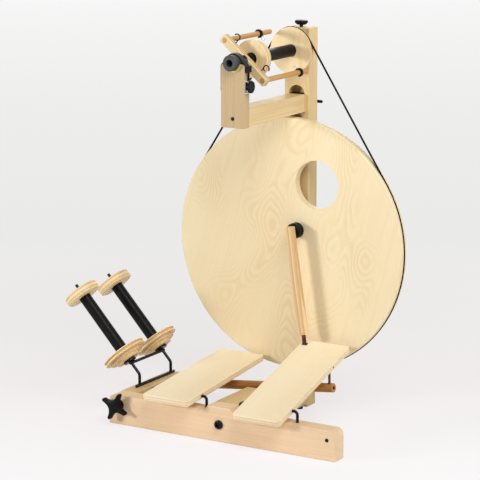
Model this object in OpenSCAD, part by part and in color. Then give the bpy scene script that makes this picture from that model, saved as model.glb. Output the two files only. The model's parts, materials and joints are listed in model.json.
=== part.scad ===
// Double treadle spinning wheel with a bobbin-led flyer and a tilted bobbin rack.
// X runs right along the front beam, Y runs back to the post, Z is up.
// The origin is the middle of the front beam's underside, on the floor.

/* [Base frame] */
// Length of the front beam
beam_length = 504; // [460:1:560]
// Thickness of the front beam, front to back
beam_depth = 33; // [28:0.5:40]
// Height of the front beam at its ends
beam_height = 59; // [50:1:70]
// Radius of the beam's upper end corners
beam_corner = 15; // [8:1:20]
// Rise of the beam's middle above its ends
hump_rise = 10; // [6:0.5:14]
// Width of the top of the beam's raised middle
hump_width = 50; // [40:1:58]
// Sideways run of the slopes beside the raised middle
hump_slope = 6; // [3:0.5:8]
// Small bevel along the edges of the frame timbers
edge_bevel = 2; // [1:0.25:3]
// Width of the spine and the post
timber_width = 56; // [50:1:64]
// Gap between the spine's underside and the floor
spine_gap = 6; // [3:0.5:12]
// Depth of the saddle cut in the spine below the rocker
saddle_depth = 19; // [14:0.5:24]
// Distance from the rocker's axis forward to the saddle's front wall
saddle_front = 26; // [20:0.5:34]
// Distance of the post's front face behind the treadles' length
post_front = 38.5; // [36:0.5:53]
// Thickness of the post, front to back
post_depth = 34; // [30:0.5:40]
// Height of the post's top above the flyer's axis
post_above_flyer = 42; // [36:1:60]

/* [Wheel] */
// Radius of the drive wheel
wheel_radius = 250; // [220:1:260]
// Thickness of the drive wheel
wheel_thick = 18; // [14:0.5:20]
// Gap between the wheel's rim and the floor
wheel_gap = 88; // [80:1:110]
// Radius of the round edge along the wheel's rim
rim_bevel = 1.5; // [0.5:0.25:2.5]
// Distance of the drive belt's plane in front of the post
belt_to_post = 20; // [19:0.5:24]
// Radius of the hand hole
hand_hole_radius = 48; // [36:1:52]
// Distance of the hand hole's centre from the wheel's axis
hand_hole_reach = 137; // [120:1:150]
// Angle of the hand hole from +X
hand_hole_angle = 63; // [40:1:90]
// Radius of the wheel's axle
axle_radius = 6; // [5:0.25:7]
// Radius of the wheel bearings
bearing_radius = 14; // [12:0.5:16]
// Width of each wheel bearing
bearing_width = 9; // [7:0.5:12]
// Radius of the flange behind the wheel
hub_radius = 35; // [28:1:45]
// Thickness of the flange behind the wheel
hub_thick = 4; // [3:0.5:5]
// Throw of the crank pin from the wheel's axis
crank_throw = 38.5; // [34:0.5:44]
// Angle of the crank pin from +X at rest
crank_angle = 53; // [45:1:60]
// Radius of the crank's round bearing cap
crank_cap_radius = 15.5; // [12:0.5:18]
// Length of the crank's round bearing cap
crank_cap_length = 20; // [14:0.5:24]
// Radius of the crank pin
crank_pin_radius = 5; // [4:0.25:6]
// Radius of the drive belt
belt_radius = 1.9; // [1.5:0.1:2.2]
// Gap between the drive belt and its grooves
belt_gap = 0.4; // [0.3:0.05:0.5]

/* [Treadles] */
// Width of each treadle
treadle_width = 103; // [90:1:106]
// Thickness of the treadles
treadle_thick = 12; // [10:0.5:14]
// Distance of each treadle's inner edge from the middle
treadle_inner = 48; // [46:1:56]
// Treadle length in front of its hinge
treadle_fore = 52; // [44:1:60]
// Treadle length behind its hinge
treadle_aft = 238; // [222:1:243]
// Corner radius of the treadles
treadle_corner = 8; // [5:0.5:14]
// Bevel along the treadles' upper and lower edges
treadle_bevel = 1.2; // [0.6:0.1:2]
// Slope of the right treadle at rest
right_slope = 16.7; // [14:0.1:18]
// Slope of the left treadle at rest
left_slope = 5.3; // [4:0.1:8]
// Height of the treadle hinges above the beam
hinge_rise = 21; // [18:0.5:26]
// Radius of the hinge rods
hinge_rod_radius = 2.8; // [2.2:0.1:3.2]
// Bend radius of the hinge rods, at the middle of the rod
hinge_bend = 7; // [5:0.5:9]
// Gap between a treadle's edge and its hinge rod's legs
hinge_leg_gap = 8; // [6:0.5:10]
// Depth of the hinge rods' legs in the beam
hinge_leg_depth = 24; // [18:1:30]
// Distance of the rocker links from the treadle hinge
link_reach = 165; // [155:1:172]
// Distance of the rocker links from the treadles' outer edge
link_inset = 9; // [7:0.5:14]
// Drop from a treadle's link pin to the rocker
link_length = 42.3; // [40:0.5:46]
// Width of the leather links
link_width = 7; // [5.5:0.5:8]
// Thickness of the leather links
link_thick = 2.6; // [2:0.1:3]
// Radius of the treadles' cross pins
treadle_pin_radius = 1.8; // [1.4:0.1:2.2]
// Radius of the rocker
rocker_radius = 9; // [8:0.5:10]
// Distance of the rocker in front of the links' upper pins
rocker_back = 5; // [2:0.5:7]
// Rocker length beyond each link
rocker_end = 9; // [7:0.5:12]
// Radius of the rocker's pivot pin
rocker_pin_radius = 4; // [3:0.25:4.5]
// Thickness of the rocker bracket's plates
bracket_plate = 3; // [2:0.25:4]
// Width of the rocker bracket
bracket_width = 28; // [22:1:34]

/* [Footman] */
// Distance of the footman's pin from the treadle's rear edge
footman_reach = 16; // [15:0.5:26]
// Distance of the footman's pin from the treadle's inner edge
footman_inset = 10; // [9:0.5:14]
// Width of the footman's wooden bar
footman_width = 18; // [15:0.5:22]
// Thickness of the footman's wooden bar
footman_depth = 12; // [10:0.5:13]
// Length of leather strap between the treadle's pin and the bar
footman_strap_free = 24; // [20:1:30]
// Length of leather strap held in the bar
footman_strap_held = 16; // [12:1:22]
// Width of the footman's leather strap
footman_strap_width = 8; // [6.5:0.5:9]
// Thickness of the footman's leather strap
footman_strap_thick = 3; // [2.4:0.1:3.4]
// Height of the bar's top above the crank pin
footman_over = 11; // [8:0.5:16]
// Gap between the footman and the crank's cap
footman_gap = 0.8; // [0.6:0.1:1.5]

/* [Head] */
// Height of the arm's underside above the top of the wheel
arm_height = 8; // [4:1:60]
// Width of the arm
arm_width = 35; // [30:0.5:40]
// Depth of the arm, top to bottom
arm_depth = 35; // [30:0.5:40]
// Distance of the front board's front face behind the middle of the beam
board_front = 35; // [26:0.5:60]
// Thickness of the front board
board_depth = 18; // [16:0.5:20]
// Width of the front board
board_width = 51; // [46:0.5:58]
// Corner radius of the front board's top
board_corner = 7; // [4:0.5:7.5]
// Rise of the flyer's axis above the arm's top
flyer_rise = 87.5; // [80:0.5:100]
// Height of the flyer's axis above the front board's top
flyer_over_board = 2.5; // [1:0.25:5]
// Length of the arm's tail behind the post
arm_tail = 16; // [14:1:24]
// Radius of the peg that locks the arm behind the post
arm_peg_radius = 3; // [2.5:0.25:4]
// Length of the locking peg
arm_peg_length = 75; // [64:1:84]
// Radius of the knob on top of the post
lock_knob_radius = 13; // [10:0.5:15]
// Thickness of the knob on top of the post
lock_knob_thick = 9.5; // [8:0.5:12]
// Height of the knob above the post
lock_knob_lift = 4; // [2:0.5:8]
// Radius of the knob's stem
lock_stem_radius = 3.5; // [3:0.25:4]

/* [Flyer and bobbins] */
// Radius of the orifice ring
orifice_ring_radius = 15; // [13:0.5:16]
// Radius of the orifice
orifice_radius = 7; // [5:0.25:8]
// Length of the orifice ring in front of the board
orifice_ring_length = 12; // [8:0.5:16]
// Wall of the half-round front bearing
front_bearing_wall = 3; // [2:0.25:3.25]
// Radius of the flyer's steel spindle
spindle_radius = 3; // [2.5:0.1:3.5]
// Turn of the flyer's arms from +X at rest
flyer_turn = 139; // [130:1:150]
// Distance of the flyer's arms from its axis
flyer_arm_reach = 54; // [52:0.5:60]
// Radius of the flyer's round arms
flyer_arm_radius = 5; // [4:0.25:6]
// Width of the flyer's crossbar
crossbar_width = 17; // [14:0.5:20]
// Thickness of the flyer's crossbar
crossbar_depth = 14; // [12:0.5:18]
// Gap between the front board and the crossbar
crossbar_gap = 20; // [16:1:30]
// Length of the flyer's arms behind the crossbar
flyer_arm_length = 156; // [140:1:158]
// Radius of the collar between the crossbar and the bobbin
collar_radius = 11; // [9:0.5:13]
// Radius of the bobbin's flange
flange_radius = 36; // [32:0.5:36.5]
// Thickness of the bobbin's flange
flange_thick = 16; // [12:0.5:18]
// Radius of the bobbin's tube
bobbin_tube_radius = 12; // [10:0.5:13]
// Length of the collar between the crossbar and the bobbin
collar_length = 14; // [10:0.5:18]
// Radius of the whorl's large step
whorl_large = 45.5; // [43:0.5:47]
// Radius of the whorl's middle step
whorl_middle = 36.5; // [33:0.5:40]
// Radius of the whorl's small step
whorl_small = 26; // [22:0.5:30]
// Thickness of the whorl's large step
whorl_large_thick = 8.5; // [7.5:0.5:10]
// Thickness of the whorl's other steps
whorl_step = 6; // [5.5:0.25:7]
// Radius of the sliding hooks' clips
hook_clip_radius = 8.5; // [7.5:0.25:9]
// Length of the sliding hooks' clips
hook_clip_length = 7; // [5:0.5:9]
// Radius of the hooks' wire
hook_wire = 0.8; // [0.6:0.1:1.2]
// Radius of the hooks' wire loop, at the middle of the wire
hook_loop = 4; // [3:0.1:4.2]
// Opening angle of the clips on the flyer's arms
clip_opening = 70; // [50:1:90]
// Radius of the fixed yarn guides, at the middle of their wire
guide_radius = 6; // [4.5:0.25:7]
// Radius of the fixed guides' wire
guide_wire = 1.2; // [0.8:0.1:1.6]
// Distance of the fixed guides from the flyer's axis, along the crossbar
guide_reach = 42; // [36:0.5:44]
// Height of the fixed guides' middles above the crossbar's side
guide_rise = 10; // [9:0.5:14]
// Distance of the upper hook behind the crossbar at rest
upper_hook_back = 112; // [90:1:120]
// Distance of the lower hook behind the crossbar at rest
lower_hook_back = 126; // [90:1:130]

/* [Brake] */
// Width of the leather brake strap
brake_width = 13; // [10:0.5:15]
// Thickness of the leather brake strap
brake_thick = 2.4; // [1.8:0.1:2.8]
// Gap between the brake strap and the orifice ring
brake_gap = 0.3; // [0.2:0.05:0.5]
// Length of the strap down the board's left side
brake_left_drop = 46; // [36:1:52]
// Length of the strap down the board's right side
brake_right_drop = 8; // [6:0.5:12]
// Drop of the brake knob's axis below the flyer's axis
brake_knob_drop = 44; // [42:0.5:54]
// Radius of the brake knob
brake_knob_radius = 11.5; // [10:0.5:15]
// Thickness of the brake knob's lobed disc
brake_knob_length = 4; // [3:0.5:6]
// Thickness of the brake bracket's steel
brake_plate_thick = 1.2; // [0.8:0.1:1.5]
// Height of the brake bracket
brake_plate_height = 23; // [20:0.5:26]
// Reach of the brake bracket's flanges from its back plate
brake_flange = 5; // [4:0.25:7]

/* [Bobbin rack] */
// Distance of the rack's bolt from the beam's left end
rack_reach = 24; // [20:1:30]
// Width of the rack's rail
rack_width = 34; // [30:0.5:38]
// Height of the rack's rail
rack_height = 38; // [32:0.5:42]
// Length of the rack's rail
rack_length = 176; // [168:1:190]
// Height of the star knob's bolt above the floor
star_height = 40; // [34:0.5:42]
// Reach of the star knob's arms
star_reach = 29; // [24:0.5:32]
// Radius of the star knob's arm tips
star_tip = 3.5; // [3:0.25:4.5]
// Thickness of the star knob
star_thick = 13; // [10:0.5:16]
// Radius of the star knob's bolt
star_bolt_radius = 4; // [3:0.25:5]
// Radius of the rack's steel wire
rack_wire = 3; // [2.4:0.1:3.4]
// Distance of the front spindle behind the middle of the beam
rack_first = 57; // [54:1:66]
// Distance between the rack's two spindles
rack_spacing = 113; // [104:1:118]
// Height of the rack's upright stubs
rack_stub = 22; // [16:1:28]
// Length of the rack's leaning arms
rack_arm = 28; // [22:1:34]
// Lean of the spindles from upright
rack_lean = 42.5; // [35:0.5:50]
// Length of the rack's spindles
rack_spindle = 190; // [176:1:200]
// Radius of the washers under the rack's bobbins
washer_radius = 13; // [10:0.5:16]
// Thickness of the washers under the rack's bobbins
washer_thick = 4.5; // [3:0.25:6]

/* [Clearances] */
// Running clearance round shafts and pins
run = 0.06; // [0.03:0.01:0.1]
// Gap between pieces that move past each other
pass = 0.4; // [0.3:0.05:0.6]
// Room round a fixed fastener in its hole
seat = 0.03; // [0.01:0.01:0.05]

/* [Hidden] */
$fn = 72;
over = 1;

// Base frame
beam_front = -beam_depth / 2;
beam_back = beam_depth / 2;
beam_top = beam_height + hump_rise;
spine_height = beam_top - spine_gap;
saddle_top = beam_top - saddle_depth;
half_timber = timber_width / 2;
post_face = treadle_aft + post_front;
post_mid = post_face + post_depth / 2;
post_back = post_face + post_depth;

// Heights of the main axes
wheel_height = wheel_radius + wheel_gap;
hinge_height = beam_height + hinge_rise;
arm_base = wheel_height + wheel_radius + arm_height;
arm_top = arm_base + arm_depth;
arm_middle = arm_base + arm_depth / 2;
flyer_height = arm_top + flyer_rise;
post_height = flyer_height + post_above_flyer;

// Wheel and belt
belt_plane = post_face - belt_to_post;
wheel_face = belt_plane - wheel_thick / 2;
wheel_rear = belt_plane + wheel_thick / 2;
groove_radius = belt_radius + belt_gap;
belt_on_wheel = wheel_radius - belt_gap;
belt_sink = 1;
belt_on_whorl = whorl_large - belt_sink;
axle_span = flyer_height - wheel_height;
belt_slope = asin((belt_on_wheel - belt_on_whorl) / axle_span);
belt_wheel_steps = 60;
belt_whorl_steps = 16;
belt_sides = 8;
crank_x = crank_throw * cos(crank_angle);
crank_z = wheel_height + crank_throw * sin(crank_angle);
axle_collar_wall = 4;
axle_collar = axle_radius + axle_collar_wall;
axle_room = 3;
crank_cap_edge = 5;
axle_nut_length = 7;
axle_nut_radius = 11;
crank_collar_wall = 3;
crank_collar = crank_pin_radius + crank_collar_wall;
axle_end = post_back + pass + axle_nut_length;

// Treadles and rocker
rocker_y = link_reach - rocker_back;
treadle_outer = treadle_inner + treadle_width;
link_x = treadle_outer - link_inset;
right_link_y = link_reach * cos(right_slope);
right_link_z = hinge_height + link_reach * sin(right_slope);
left_link_y = link_reach * cos(left_slope);
left_link_z = hinge_height + link_reach * sin(left_slope);
rocker_height = (right_link_z + left_link_z) / 2 - link_length;
rocker_slope = atan((right_link_z - left_link_z) / (2 * link_x));
rocker_half = (link_x + rocker_end) / cos(rocker_slope);
right_link_lean = atan((rocker_y - right_link_y) / link_length);
left_link_lean = atan((rocker_y - left_link_y) / link_length);
link_slot_spare = 1;
link_slot_room = link_width / 2 + 2 * pass + link_slot_spare;
link_slot = link_thick + 2 * rocker_radius * tan(rocker_slope) + 2 * pass;
link_slot_long = link_width + 2 * rocker_radius * tan(abs(left_link_lean)) + 2 * pass;
link_screw_radius = 1.6;
link_screw_head = 3.6;
link_screw_cap = 1.8;
link_screw_taper = 1.2;
rocker_pin_over = 2;
rocker_pin_lip = 2.5;
bracket_wall = 3;
treadle_pin_length = 20;
hinge_reach = hinge_leg_gap + hinge_rod_radius;

// Footman
footman_pin = treadle_aft - footman_reach;
footman_x = treadle_inner + footman_inset;
footman_y = footman_pin * cos(right_slope);
footman_z = hinge_height + footman_pin * sin(right_slope);
footman_lean = atan((footman_x - crank_x) / (crank_z - footman_z));
footman_length = norm([footman_x - crank_x, crank_z - footman_z]);
cap_front = footman_y + footman_depth / 2 + footman_gap;

// Head
board_back = board_front + board_depth;
board_top = flyer_height - flyer_over_board;
board_notch = orifice_ring_radius + run + front_bearing_wall;
lock_top = post_height + lock_knob_lift;
rear_bush_wall = 4;
rear_bush_radius = spindle_radius + rear_bush_wall;
knob_edge = 1.5;
lock_knob_lip = 3;
lock_knob_foot = lock_stem_radius + lock_knob_lip;
lock_knob_taper = 3.5;

// Flyer and bobbin
crossbar_front = board_back + crossbar_gap;
crossbar_back = crossbar_front + crossbar_depth;
crossbar_end = 3;
crossbar_bevel = 1.5;
crossbar_length = 2 * (flyer_arm_reach + flyer_arm_radius + crossbar_end);
whorl_length = whorl_large_thick + 2 * whorl_step;
bobbin_front = crossbar_back + collar_length + pass;
bobbin_end = belt_plane - whorl_large_thick / 2 + whorl_length;
bobbin_length = bobbin_end - bobbin_front;

// Brake
brake_mid = (board_front + board_back) / 2;
brake_radius = orifice_ring_radius + brake_gap + brake_thick / 2;
brake_side = board_width / 2 + brake_gap + brake_thick / 2;
brake_knob_height = flyer_height - brake_knob_drop;
brake_shoulder_drop = 6.5;
brake_shoulder = flyer_height - brake_shoulder_drop;
brake_wrap = 50;
brake_knob_gap = brake_flange + 2 * pass;
brake_hub_radius = 7;
brake_lobes = 10;
brake_rod_radius = 2;
brake_rod_x = board_width / 2 + brake_plate_thick + brake_flange / 2;
brake_clip_wall = 1.4;
brake_plate_inset = 1;
brake_plate_top = brake_knob_height + brake_plate_height / 2;
brake_spindle_radius = 3;

// Bobbin rack
rack_x = beam_length / 2 - rack_reach;
rack_top = star_height + rack_height / 2;
rack_front = beam_back + pass;
rack_bar_height = rack_top + rack_wire + seat;
rack_knee_height = rack_bar_height + rack_stub;
rack_shelf_x = -rack_x - rack_arm * sin(rack_lean);
rack_shelf_z = rack_knee_height + rack_arm * cos(rack_lean);
spindle_rise = rack_wire + seat;

// Fasteners of the base
beam_bolt_radius = 4;
beam_bolt_head = 9;
beam_bolt_dome = 5;
beam_bolt_height = beam_top / 2;
beam_bolt_depth = 45;
beam_bolt_end = beam_back + beam_bolt_depth;
spine_bolt_radius = 4;
spine_bolt_head = 8;
spine_bolt_head_thick = 4;
spine_bolt_depth = 40;
spine_bolt_tip = post_face - spine_bolt_depth;
spine_bolt_inset = 12;
spine_bolt_heights = [spine_gap + spine_bolt_inset, saddle_top - spine_bolt_inset];
screw_radius = 2;
screw_head = 3.6;
screw_dome = 2;
dome_curve = 1.6;
screw_length = 20;
end_screw_inset = 18.5;
end_screw_x = beam_length / 2 - end_screw_inset;
bracket_screw_depth = 16;
bracket_screw_edge = 1.4;
bracket_screw_x = bracket_width / 2 - screw_head - bracket_screw_edge;
foot_radius = 7;
foot_inset = 10;
foot_to_post = 14;

// Details of the head and the flyer
arm_peg_y = post_back + arm_peg_radius + seat;
mortise_depth = 20;
rear_bush_length = 24;
spindle_short = 1;
brake_spindle_depth = 15;
brake_clip_length = 12;
star_neck = 9;
star_hub = 12.5;
star_root = 7;
star_neck_radius = 12;
star_turn = 65;
star_bolt_depth = 40;
rocker_screw_length = 24;
neck_wall = 3.5;
neck_radius = orifice_radius + neck_wall;
orifice_ring_over = 1.5;
tenon_wall = 2.5;
tenon_radius = crossbar_width / 2 - tenon_wall;
orifice_to_bar = 3;
orifice_end = crossbar_front - orifice_to_bar;
outlet_radius = 4;
arm_total = crossbar_depth + flyer_arm_length;
rack_bar_over = 14;
flange_edge = 3;
guide_open = 85;
guide_depth = 6;
guide_inset = 3;
guide_y = crossbar_back - guide_inset;
guide_foot = 148;
guide_neck = 0.15;
guide_stem = guide_reach + guide_radius * cos(guide_foot);
guide_stem_radius = guide_wire - guide_neck;

// Colours
birch = [0.93, 0.85, 0.69];
beech = [0.86, 0.70, 0.52];
black = [0.05, 0.05, 0.055];
graphite = [0.22, 0.22, 0.23];
steel = [0.66, 0.66, 0.68];
oxblood = [0.38, 0.13, 0.08];
amber = [0.78, 0.62, 0.28];

// Round bar along X
module x_bar(radius, start, end, y, z) {
    translate([start, y, z])
        rotate([0, 90, 0])
            cylinder(r = radius, h = end - start);
}

// Round bar along Y
module y_bar(radius, start, end, x, z) {
    translate([x, start, z])
        rotate([-90, 0, 0])
            cylinder(r = radius, h = end - start);
}

// Round bar along Z
module z_bar(radius, start, end, x, y) {
    translate([x, y, start])
        cylinder(r = radius, h = end - start);
}

// Rectangle with its four corners cut off
module cut_rectangle(width, height, cut) {
    polygon([
        [cut, 0], [width - cut, 0], [width, cut], [width, height - cut],
        [width - cut, height], [cut, height], [0, height - cut], [0, cut]]);
}

// Box from the origin with all its edges bevelled
module bevelled_box(size, bevel) {
    intersection() {
        linear_extrude(size.z)
            cut_rectangle(size.x, size.y, bevel);
        translate([0, size.y, 0])
            rotate([90, 0, 0])
                linear_extrude(size.y)
                    cut_rectangle(size.x, size.z, bevel);
        rotate([90, 0, 90])
            linear_extrude(size.x)
                cut_rectangle(size.y, size.z, bevel);
    }
}

// Rectangle with round corners, from the origin
module round_rectangle(width, height, radius) {
    translate([radius, 0])
        square([width - 2 * radius, height]);
    translate([0, radius])
        square([width, height - 2 * radius]);
    for (x = [radius, width - radius], y = [radius, height - radius])
        translate([x, y])
            circle(r = radius);
}

// Outline drawn in X and Z, made solid from one Y to another
module along_y(start, end) {
    translate([0, end, 0])
        rotate([90, 0, 0])
            linear_extrude(end - start)
                children();
}

// Domed round head that stands out along -Y from a face
module dome_head(radius, height, x, face, z) {
    translate([x, face, z])
        rotate([90, 0, 0])
            rotate_extrude()
                intersection() {
                    translate([0, height - radius * dome_curve])
                        circle(r = radius * dome_curve);
                    square([radius, height]);
                }
}

// Places for pieces on the treadles, the rocker, the footman and the rack
module at_treadle(slope) {
    translate([0, 0, hinge_height])
        rotate([slope, 0, 0])
            children();
}

module at_rocker() {
    translate([0, rocker_y, rocker_height])
        rotate([0, -rocker_slope, 0])
            children();
}

module at_footman() {
    translate([footman_x, footman_y, footman_z])
        rotate([0, -footman_lean, 0])
            children();
}

module at_flyer() {
    translate([0, 0, flyer_height])
        rotate([0, -flyer_turn, 0])
            children();
}

module at_spindle(y) {
    translate([rack_shelf_x, y, rack_shelf_z])
        rotate([0, -rack_lean, 0])
            children();
}

// Front view of the beam
module beam_outline() {
    half = beam_length / 2;
    translate([beam_corner - half, 0])
        square([beam_length - 2 * beam_corner, beam_height]);
    translate([-half, edge_bevel])
        square([beam_length, beam_height - beam_corner - edge_bevel]);
    polygon([
        [-half, edge_bevel], [edge_bevel - half, 0], [half - edge_bevel, 0], [half, edge_bevel]]);
    for (side = [-1, 1])
        translate([side * (half - beam_corner), beam_height - beam_corner])
            circle(r = beam_corner);
    polygon([
        [-hump_width / 2 - hump_slope, beam_height], [hump_width / 2 + hump_slope, beam_height],
        [hump_width / 2, beam_top], [-hump_width / 2, beam_top]]);
}

module front_beam() {
    color(beech) difference() {
        intersection() {
            along_y(beam_front, beam_back)
                beam_outline();
            translate([-beam_length / 2, beam_front, 0])
                bevelled_box([beam_length, beam_depth, beam_top + over], edge_bevel);
        }
        y_bar(beam_bolt_radius + seat, beam_front - over, beam_back + over, 0, beam_bolt_height);
        y_bar(screw_radius + seat, beam_front - over, beam_front + screw_length, end_screw_x, star_height);
        y_bar(star_bolt_radius + run, beam_front - over, beam_back + over, -rack_x, star_height);
        for (x = [treadle_inner - hinge_reach, treadle_outer + hinge_reach], side = [-1, 1])
            z_bar(hinge_rod_radius + seat, beam_height - hinge_leg_depth, beam_top + over, side * x, 0);
    }
}

module spine() {
    length = post_face - beam_back;
    saddle_start = rocker_y - saddle_front;
    color(birch) difference() {
        translate([-half_timber, beam_back, spine_gap])
            bevelled_box([timber_width, length, spine_height], edge_bevel);
        translate([-half_timber - over, saddle_start, saddle_top])
            cube([timber_width + 2 * over, post_face - saddle_start + over, saddle_depth + over]);
        y_bar(beam_bolt_radius + seat, beam_back - over, beam_bolt_end, 0, beam_bolt_height);
        for (z = spine_bolt_heights)
            y_bar(spine_bolt_radius + seat, spine_bolt_tip, post_face + over, 0, z);
        for (side = [-1, 1])
            z_bar(screw_radius + seat, saddle_top - bracket_screw_depth, saddle_top + over,
                side * bracket_screw_x, rocker_y);
    }
}

module post() {
    color(birch) difference() {
        translate([-half_timber, post_face, 0])
            bevelled_box([timber_width, post_depth, post_height], edge_bevel);
        arm_mortise();
        y_bar(axle_radius + axle_room, post_face - over, post_back + over, 0, wheel_height);
        y_bar(bearing_radius + seat, post_face - over, post_face + bearing_width, 0, wheel_height);
        y_bar(bearing_radius + seat, post_back - bearing_width, post_back + over, 0, wheel_height);
        y_bar(rear_bush_radius + seat, post_face - over, post_face + rear_bush_length, 0, flyer_height);
        z_bar(lock_stem_radius + run, flyer_height, post_height + over, 0, post_mid);
        for (z = spine_bolt_heights)
            y_bar(spine_bolt_radius + seat, post_face - over, post_back + over, 0, z);
    }
}

// Slot for the arm, in a pocket with the round ends that a cutter leaves
module arm_mortise() {
    half = arm_width / 2 + seat;
    along_y(post_face - over, post_back + over)
        translate([-half, arm_base - seat])
            square([2 * half, arm_depth + 2 * seat]);
    along_y(post_face - over, post_face + mortise_depth) {
        translate([-half, arm_base])
            square([2 * half, arm_depth]);
        for (z = [arm_base, arm_top])
            translate([0, z])
                circle(r = half);
    }
}

module beam_bolt() {
    color(black) {
        dome_head(beam_bolt_head, beam_bolt_dome, 0, beam_front, beam_bolt_height);
        y_bar(beam_bolt_radius, beam_front, beam_bolt_end, 0, beam_bolt_height);
    }
}

module spine_bolts() {
    color(black) for (z = spine_bolt_heights) {
        y_bar(spine_bolt_head, post_back, post_back + spine_bolt_head_thick, 0, z);
        y_bar(spine_bolt_radius, spine_bolt_tip, post_back, 0, z);
    }
}

// Domed screws in the beam's right end and the front board, and two sunk screws in the rocker bracket
module black_screws() {
    color(black) {
        dome_head(screw_head, screw_dome, end_screw_x, beam_front, star_height);
        y_bar(screw_radius, beam_front, beam_front + screw_length, end_screw_x, star_height);
        dome_head(screw_head, screw_dome, 0, board_front, arm_middle);
        y_bar(screw_radius, board_front, board_back + screw_length, 0, arm_middle);
        for (side = [-1, 1])
            translate([side * bracket_screw_x, rocker_y, saddle_top]) {
                cylinder(r1 = screw_radius, r2 = screw_head, h = bracket_plate);
                z_bar(screw_radius, -bracket_screw_depth, bracket_plate / 2, 0, 0);
            }
    }
}

// Two pads under the spine beside the post
module rubber_feet() {
    color(black) for (side = [-1, 1])
        z_bar(foot_radius, 0, spine_gap, side * (half_timber - foot_inset), post_face - foot_to_post);
}

// Angle behind the rocker, on the saddle's floor
module rocker_bracket() {
    inner = rocker_radius + pass;
    outer = inner + bracket_plate;
    color(graphite) difference() {
        union() {
            translate([-bracket_width / 2, rocker_y - outer, saddle_top])
                cube([bracket_width, 2 * outer, bracket_plate]);
            along_y(rocker_y + inner, rocker_y + outer) {
                translate([-bracket_width / 2, saddle_top])
                    square([bracket_width, rocker_height - saddle_top]);
                translate([0, rocker_height])
                    circle(r = rocker_pin_radius + bracket_wall);
            }
        }
        y_bar(rocker_pin_radius + seat, rocker_y, rocker_y + outer + over, 0, rocker_height);
        for (side = [-1, 1])
            translate([side * bracket_screw_x, rocker_y, saddle_top]) {
                cylinder(r1 = screw_radius + seat, r2 = screw_head + seat, h = bracket_plate);
                z_bar(screw_radius + seat, -over, bracket_plate / 2, 0, 0);
                z_bar(screw_head + seat, bracket_plate, bracket_plate + over, 0, 0);
            }
    }
}

// Pin from the rocker's front into the bracket, with a flat head
module rocker_pin() {
    head = rocker_y - rocker_radius - pass;
    back = rocker_y + rocker_radius + pass + bracket_plate + rocker_pin_over;
    color(steel) {
        y_bar(rocker_pin_radius, head, back, 0, rocker_height);
        y_bar(rocker_pin_radius + rocker_pin_lip, head - rocker_pin_over, head, 0, rocker_height);
    }
}

// Bent rod that carries one treadle, with its two legs in the beam
module hinge_rod(side) {
    left = treadle_inner - hinge_reach;
    right = treadle_outer + hinge_reach;
    bottom = beam_height - hinge_leg_depth;
    color(black) {
        x_bar(hinge_rod_radius, side * (side > 0 ? left + hinge_bend : right - hinge_bend),
            side * (side > 0 ? right - hinge_bend : left + hinge_bend), 0, hinge_height);
        for (x = [left, right]) {
            inward = x == left ? hinge_bend : -hinge_bend;
            z_bar(hinge_rod_radius, bottom, hinge_height - hinge_bend, side * x, 0);
            translate([side * (x + inward), 0, hinge_height - hinge_bend])
                rotate([90, 0, 0])
                    rotate([0, 0, side * inward > 0 ? 90 : 0])
                        rotate_extrude(angle = 90)
                            translate([hinge_bend, 0])
                                circle(r = hinge_rod_radius);
        }
    }
}

module right_hinge_rod() {
    hinge_rod(1);
}

module left_hinge_rod() {
    hinge_rod(-1);
}

module arm() {
    length = post_back + arm_tail - board_back;
    color(beech) difference() {
        translate([-arm_width / 2, board_back, arm_base])
            bevelled_box([arm_width, length, arm_depth], edge_bevel / 2);
        x_bar(arm_peg_radius + seat, -arm_width, arm_width, arm_peg_y, arm_middle);
        y_bar(screw_radius + seat, board_back - over, board_back + screw_length, 0, arm_middle);
    }
}

// Peg across the arm's tail, tight behind the post
module arm_peg() {
    color(black)
        x_bar(arm_peg_radius, -arm_peg_length / 2, arm_peg_length / 2, arm_peg_y, arm_middle);
}

module front_board() {
    half = board_width / 2;
    color(birch) difference() {
        along_y(board_front, board_back)
            difference() {
                translate([-half, arm_base])
                    union() {
                        cut_rectangle(board_width, board_corner * 2, edge_bevel / 2);
                        translate([0, board_corner])
                            round_rectangle(
                                board_width, board_top - arm_base - board_corner, board_corner);
                        translate([0, board_corner])
                            square([board_width, board_corner * 2]);
                    }
                translate([0, flyer_height])
                    circle(r = board_notch + seat);
            }
        y_bar(screw_radius + seat, board_front - over, board_back + over, 0, arm_middle);
        x_bar(brake_spindle_radius + run, half - brake_spindle_depth, half + over,
            brake_mid, brake_knob_height);
    }
}

// Half-round shell that the orifice ring turns in
module front_bearing() {
    color(amber) along_y(board_front, board_back)
        intersection() {
            difference() {
                translate([0, flyer_height])
                    circle(r = board_notch);
                translate([0, flyer_height])
                    circle(r = orifice_ring_radius + run);
            }
            translate([-board_width / 2, arm_top])
                square([board_width, board_top - arm_top]);
        }
}

module rear_bearing() {
    color(amber) difference() {
        y_bar(rear_bush_radius, post_face, post_face + rear_bush_length, 0, flyer_height);
        y_bar(spindle_radius + run, post_face - over, post_face + rear_bush_length + over, 0, flyer_height);
    }
}

module wheel_bearings() {
    color(steel) for (y = [post_face, post_back - bearing_width])
        difference() {
            y_bar(bearing_radius, y, y + bearing_width, 0, wheel_height);
            y_bar(axle_radius + run, y - over, y + bearing_width + over, 0, wheel_height);
        }
}

// Flat strip between two points of a front view
module strip(from, to, width) {
    run_x = to.x - from.x;
    run_z = to.y - from.y;
    translate(from)
        rotate(atan2(run_z, run_x))
            translate([0, -width / 2])
                square([norm([run_x, run_z]), width]);
    for (end = [from, to])
        translate(end)
            circle(d = width);
}

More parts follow.
